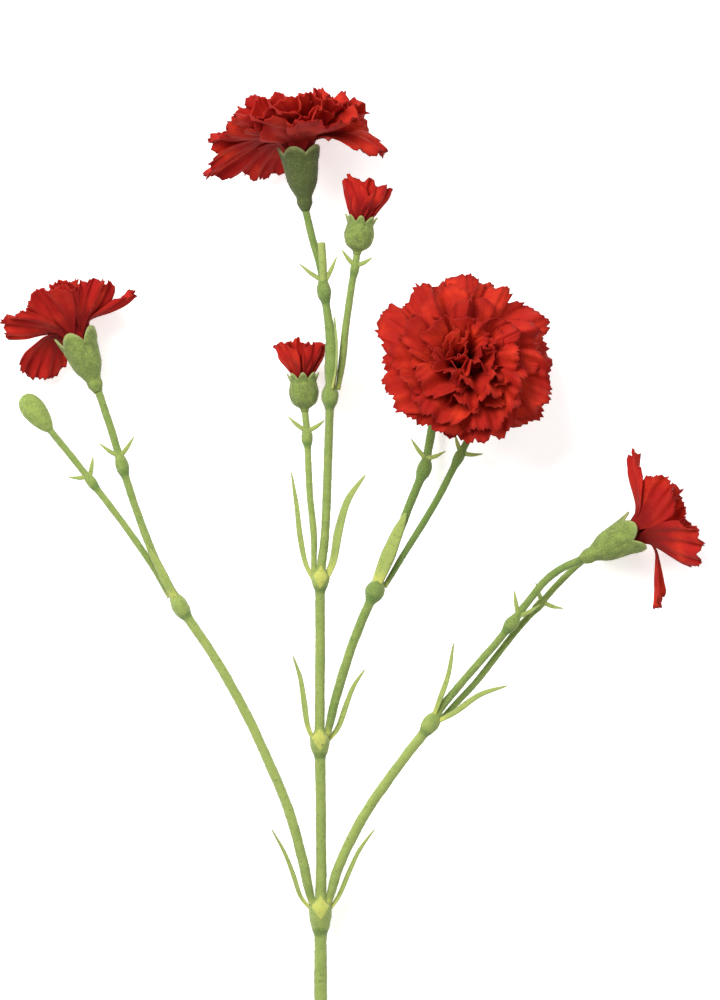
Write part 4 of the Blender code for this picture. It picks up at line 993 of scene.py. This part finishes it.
def whorls(seed, rows, tilt=0.0):
    """Rings of like petals with a little chance in each. A row holds count, first azimuth, ring, rise,
    length, half, lean, curl, cup, ruffle and waves. Petals lean tilt more at azimuth 90 and tilt less
    opposite, which turns the rings' face."""
    draw = random.Random(seed)
    petals = []
    for count, start, ring, rise, length, half, lean, curl, cup, ruffle, waves in rows:
        for k in range(count):
            azimuth = start + 360.0 * k / count + draw.uniform(-5, 5)
            petals.append(
                Petal(
                    azimuth=azimuth,
                    ring=ring,
                    rise=rise,
                    length=length * draw.uniform(0.95, 1.04),
                    half=half * draw.uniform(0.93, 1.07),
                    lean=lean + draw.uniform(-3, 3) + tilt * math.sin(math.radians(azimuth)),
                    curl=curl + draw.uniform(-7, 7),
                    cup=cup + draw.uniform(-0.05, 0.05),
                    ruffle=ruffle * draw.uniform(0.8, 1.2),
                    waves=waves * draw.uniform(0.85, 1.15),
                    phase=draw.uniform(0, 2 * math.pi),
                    twist=OVERLAP_TWIST + draw.uniform(-3, 3),
                    bend=draw.uniform(-1.5, 1.5),
                    lobes=BLOOM_LOBE_TOP,
                    oval=0.0,
                )
            )
    return petals


def chosen(rows, ring=3.0, rise=16.4, lobes=BLOOM_LOBE_TOP, oval=0.0):
    """Petals whose place and form are chosen one by one. A row holds azimuth, length, half, lean, curl,
    cup, ruffle, waves, phase, twist and bend."""
    return [Petal(azimuth, ring, rise, *form, lobes, oval) for azimuth, *form in rows]


def petals_of(head, petals, matrix, seed):
    """The petals of one flower head as one piece, each a little lighter or darker."""
    draw = random.Random(seed)
    blades = [petal_blade(petal, matrix, draw.random()) for petal in petals]
    made = piece(head + "_cloth", joined(blades), petal_red)
    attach(made, "root")
    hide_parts(head + "_petals")


# The full bloom that faces the sky: rings of petals, flat outside and upright within.
large = whorls(
    11,
    [
        (8, 12, 3.2, 16.4, 29.5, 12.5, 86, 14, -0.10, 2.0, 1.7),
        (7, 30, 2.8, 17.0, 28.5, 11.5, 70, 22, -0.05, 2.4, 1.8),
        (7, 5, 2.3, 17.4, 26.5, 10.0, 52, 30, 0.0, 2.8, 1.9),
        (6, 25, 1.8, 17.8, 23.5, 9.0, 36, 30, 0.1, 2.8, 2.0),
        (5, 50, 1.2, 18.0, 20.5, 7.5, 21, 24, 0.2, 2.6, 2.0),
        (4, 10, 0.8, 18.2, 18.5, 6.0, 9, 20, 0.3, 2.2, 1.8),
    ],
    tilt=14.0,
)
petals_of("large_bloom", large, LARGE_HEAD, 61)

# The bloom at the end of the main stem: broad petals that fall outwards under a dome.
top = chosen(
    [
        (42, 26.5, 14.0, 80, -20, 0.10, 1.2, 1.4, 0.5, 10, 0.0),
        (88, 21.0, 12.5, 66, -6, 0.0, 1.5, 1.7, 4.0, 14, 0.0),
        (124, 25.0, 13.5, 84, -10, 0.08, 1.2, 1.5, 5.2, -6, 0.0),
        (172, 28.0, 11.0, 98, 52, -0.05, 1.2, 1.5, 1.2, 14, 0.0),
        (224, 26.0, 12.0, 76, 14, -0.10, 1.5, 1.6, 2.4, 16, 0.0),
        (268, 25.0, 12.0, 78, 16, -0.10, 1.5, 1.6, 0.2, 16, 0.0),
        (312, 24.0, 9.0, 122, 10, -0.10, 1.2, 1.5, 3.0, 16, 0.0),
        (349, 31.5, 8.6, 114, 4, -0.05, 1.4, 1.4, 2.0, 26, 0.0),
        (8, 27.5, 11.0, 86, 8, -0.05, 1.6, 1.6, 1.1, 22, 0.0),
    ],
    ring=3.2,
)
top += whorls(
    5,
    [
        (8, 22, 2.7, 16.8, 24.5, 11.0, 66, 10, -0.05, 2.0, 1.7),
        (7, 10, 2.1, 17.0, 22.5, 9.5, 47, 12, 0.05, 2.1, 1.7),
        (5, 35, 1.5, 17.2, 19.8, 8.0, 30, 14, 0.15, 2.0, 1.6),
        (3, 60, 0.8, 17.4, 18.0, 6.5, 14, 14, 0.25, 1.7, 1.5),
    ],
)
petals_of("top_bloom", top, TOP_HEAD, 62)

# A looser bloom. One petal hangs back along the calyx and one stands out alone on the right.
left = chosen(
    [
        (16, 22.8, 8.0, 64, -4, 0.10, 1.1, 1.5, 0.4, 30, 0.0),
        (60, 21.5, 9.5, 36, 2, 0.10, 1.6, 1.9, 1.0, 8, 1.5),
        (108, 18.5, 8.0, 26, 6, 0.25, 1.7, 2.1, 2.6, -8, 0.0),
        (148, 20.0, 7.5, 48, -4, 0.15, 1.3, 1.7, 4.1, -30, 1.5),
        (182, 21.5, 4.4, 88, -22, 0.35, 0.8, 1.6, 0.8, -12, 1.0),
        (328, 22.5, 8.5, 130, 2, -0.05, 1.4, 1.7, 5.2, 38, 0.0),
        (290, 21.0, 8.5, 58, 6, 0.05, 1.5, 1.9, 3.3, 5, 0.0),
        (250, 21.0, 8.5, 54, 8, 0.05, 1.5, 2.0, 1.9, -6, 0.0),
        (212, 20.0, 8.0, 52, 4, 0.10, 1.4, 1.8, 0.2, 10, 0.0),
    ]
)
left += whorls(23, [(4, 100, 1.6, 16.4, 18.8, 6.0, 16, 14, 0.2, 1.7, 1.6)])
petals_of("left_bloom", left, LEFT_HEAD, 63)

# The oldest bloom, opened wide, with one withered petal hanging down.
right = chosen(
    [
        (10, 24.5, 6.0, 72, -8, 0.20, 0.8, 1.3, 0.6, 14, -1.0),
        (54, 22.0, 8.4, 42, 0, 0.15, 1.2, 1.6, 1.2, 14, 0.0),
        (136, 24.5, 10.0, 52, 0, 0.05, 1.1, 1.5, 2.8, -14, 0.0),
        (192, 26.0, 3.4, 116, -8, 0.45, 0.5, 1.2, 4.0, 20, 0.0),
        (236, 22.0, 8.0, 56, 6, 0.05, 1.2, 1.7, 5.0, 0, 0.0),
        (300, 22.0, 8.0, 50, 6, 0.05, 1.3, 1.8, 0.3, 0, 0.0),
    ]
)
right += whorls(31, [(3, 80, 1.6, 17.2, 19.5, 6.5, 16, 12, 0.2, 1.3, 1.5)])
petals_of("right_bloom", right, RIGHT_HEAD, 64)

# The upper bud's petals stand as a narrow tulip; the centre bud's have just begun to open.
upper = chosen(
    [
        (64, 14.2, 4.8, 22, -20, 0.45, 0.1, 1.0, 0.3, 0, -3.2),
        (98, 13.4, 4.3, 12, -6, 0.45, 0.15, 1.0, 2.0, 0, 0.7),
        (134, 13.6, 4.9, 42, -62, 0.45, 0.1, 1.0, 4.2, 0, 2.6),
        (200, 10.8, 4.2, 34, -40, 0.35, 0.2, 1.0, 5.5, 0, 0.0),
        (262, 10.8, 4.2, 20, -20, 0.35, 0.2, 1.0, 1.1, 0, 0.0),
        (325, 10.8, 4.0, 26, -30, 0.35, 0.2, 1.0, 3.1, 0, 0.0),
    ],
    ring=2.15,
    rise=9.9,
    lobes=BUD_LOBE_TOP,
    oval=1.0,
)
petals_of("upper_bud", upper, UPPER_BUD_HEAD, 65)

centre = chosen(
    [
        (35, 12.6, 5.0, 34, -18, 0.30, 0.5, 1.3, 0.9, 8, 0.0),
        (80, 12.6, 4.6, 14, 16, 0.30, 0.4, 1.2, 2.2, -4, 0.0),
        (140, 12.4, 5.2, 36, -16, 0.30, 0.5, 1.3, 4.0, -6, 0.0),
        (205, 12.4, 5.0, 30, -12, 0.30, 0.5, 1.3, 5.2, 8, 0.0),
        (270, 12.4, 5.0, 28, -10, 0.30, 0.5, 1.3, 1.4, 8, 0.0),
        (330, 13.4, 4.4, 36, -4, 0.35, 0.5, 1.3, 3.1, 8, 0.0),
    ],
    ring=2.15,
    rise=9.9,
    lobes=BUD_LOBE_TOP,
    oval=0.6,
)
petals_of("centre_bud", centre, CENTRE_BUD_HEAD, 66)

# ------------------------------------------------------------------ table, light and camera
#
# The spray lies on a plain white sheet in soft daylight from the upper left, and is seen from straight
# above with a long lens.


TABLE_REACH = 3.0  # metres from the middle to each side
TABLE_DROP = 0.0003  # metres that the sheet lies under the spray
CAMERA_AT = (12.0, 121.5, 2525.0)  # millimetres in the spray's own frame


def table_finish(place):
    mottle = place.noise(60.0, 3.0, 0.6)
    fibre = place.noise(1800.0, 2.0, 0.6)
    return {
        "Base Color": mottle.blend((0.93, 0.93, 0.93), (0.96, 0.96, 0.96)),
        "Roughness": 0.85 + 0.1 * fibre,
        "Normal": fibre.bump(0.15, 0.0002),
        "Emission Color": (1.0, 1.0, 1.0),
        "Emission Strength": 0.5,
    }


sheet_mesh = bpy.data.meshes.new("table")
corners = [(x * TABLE_REACH, y * TABLE_REACH, -TABLE_DROP) for x, y in ((-1, -1), (1, -1), (1, 1), (-1, 1))]
sheet_mesh.from_pydata(corners, [], [(0, 1, 2, 3)])
sheet_mesh.materials.append(material("table_sheet", table_finish))
table = bpy.data.objects.new("table", sheet_mesh)
bpy.context.scene.collection.objects.link(table)

world = bpy.data.worlds.new("daylight")
world.use_nodes = True
world.node_tree.nodes["Background"].inputs["Color"].default_value = (1, 1, 1, 1)
world.node_tree.nodes["Background"].inputs["Strength"].default_value = 0.34
bpy.context.scene.world = world

# A light's name, its place and side in metres, and its watts.
for name, place, size, power in (
    ("window", (-0.5, 0.6, 1.0), 0.7, 17.0),
    ("fill", (0.7, 0.2, 1.1), 1.0, 4.0),
):
    lamp = bpy.data.lights.new(name, "AREA")
    lamp.size = size
    lamp.energy = power
    stand = bpy.data.objects.new(name, lamp)
    stand.location = place
    stand.rotation_euler = (-Vector(place)).to_track_quat("-Z", "Y").to_euler()
    bpy.context.scene.collection.objects.link(stand)

lens = bpy.data.cameras.new("camera")
lens.lens = 300
lens.clip_end = 20
camera = bpy.data.objects.new("camera", lens)
camera.location = (Vector(CAMERA_AT) - Vector(SPRAY_MIDDLE)) * 0.001
bpy.context.scene.collection.objects.link(camera)
bpy.context.scene.camera = camera
bpy.context.scene.view_settings.view_transform = "Standard"
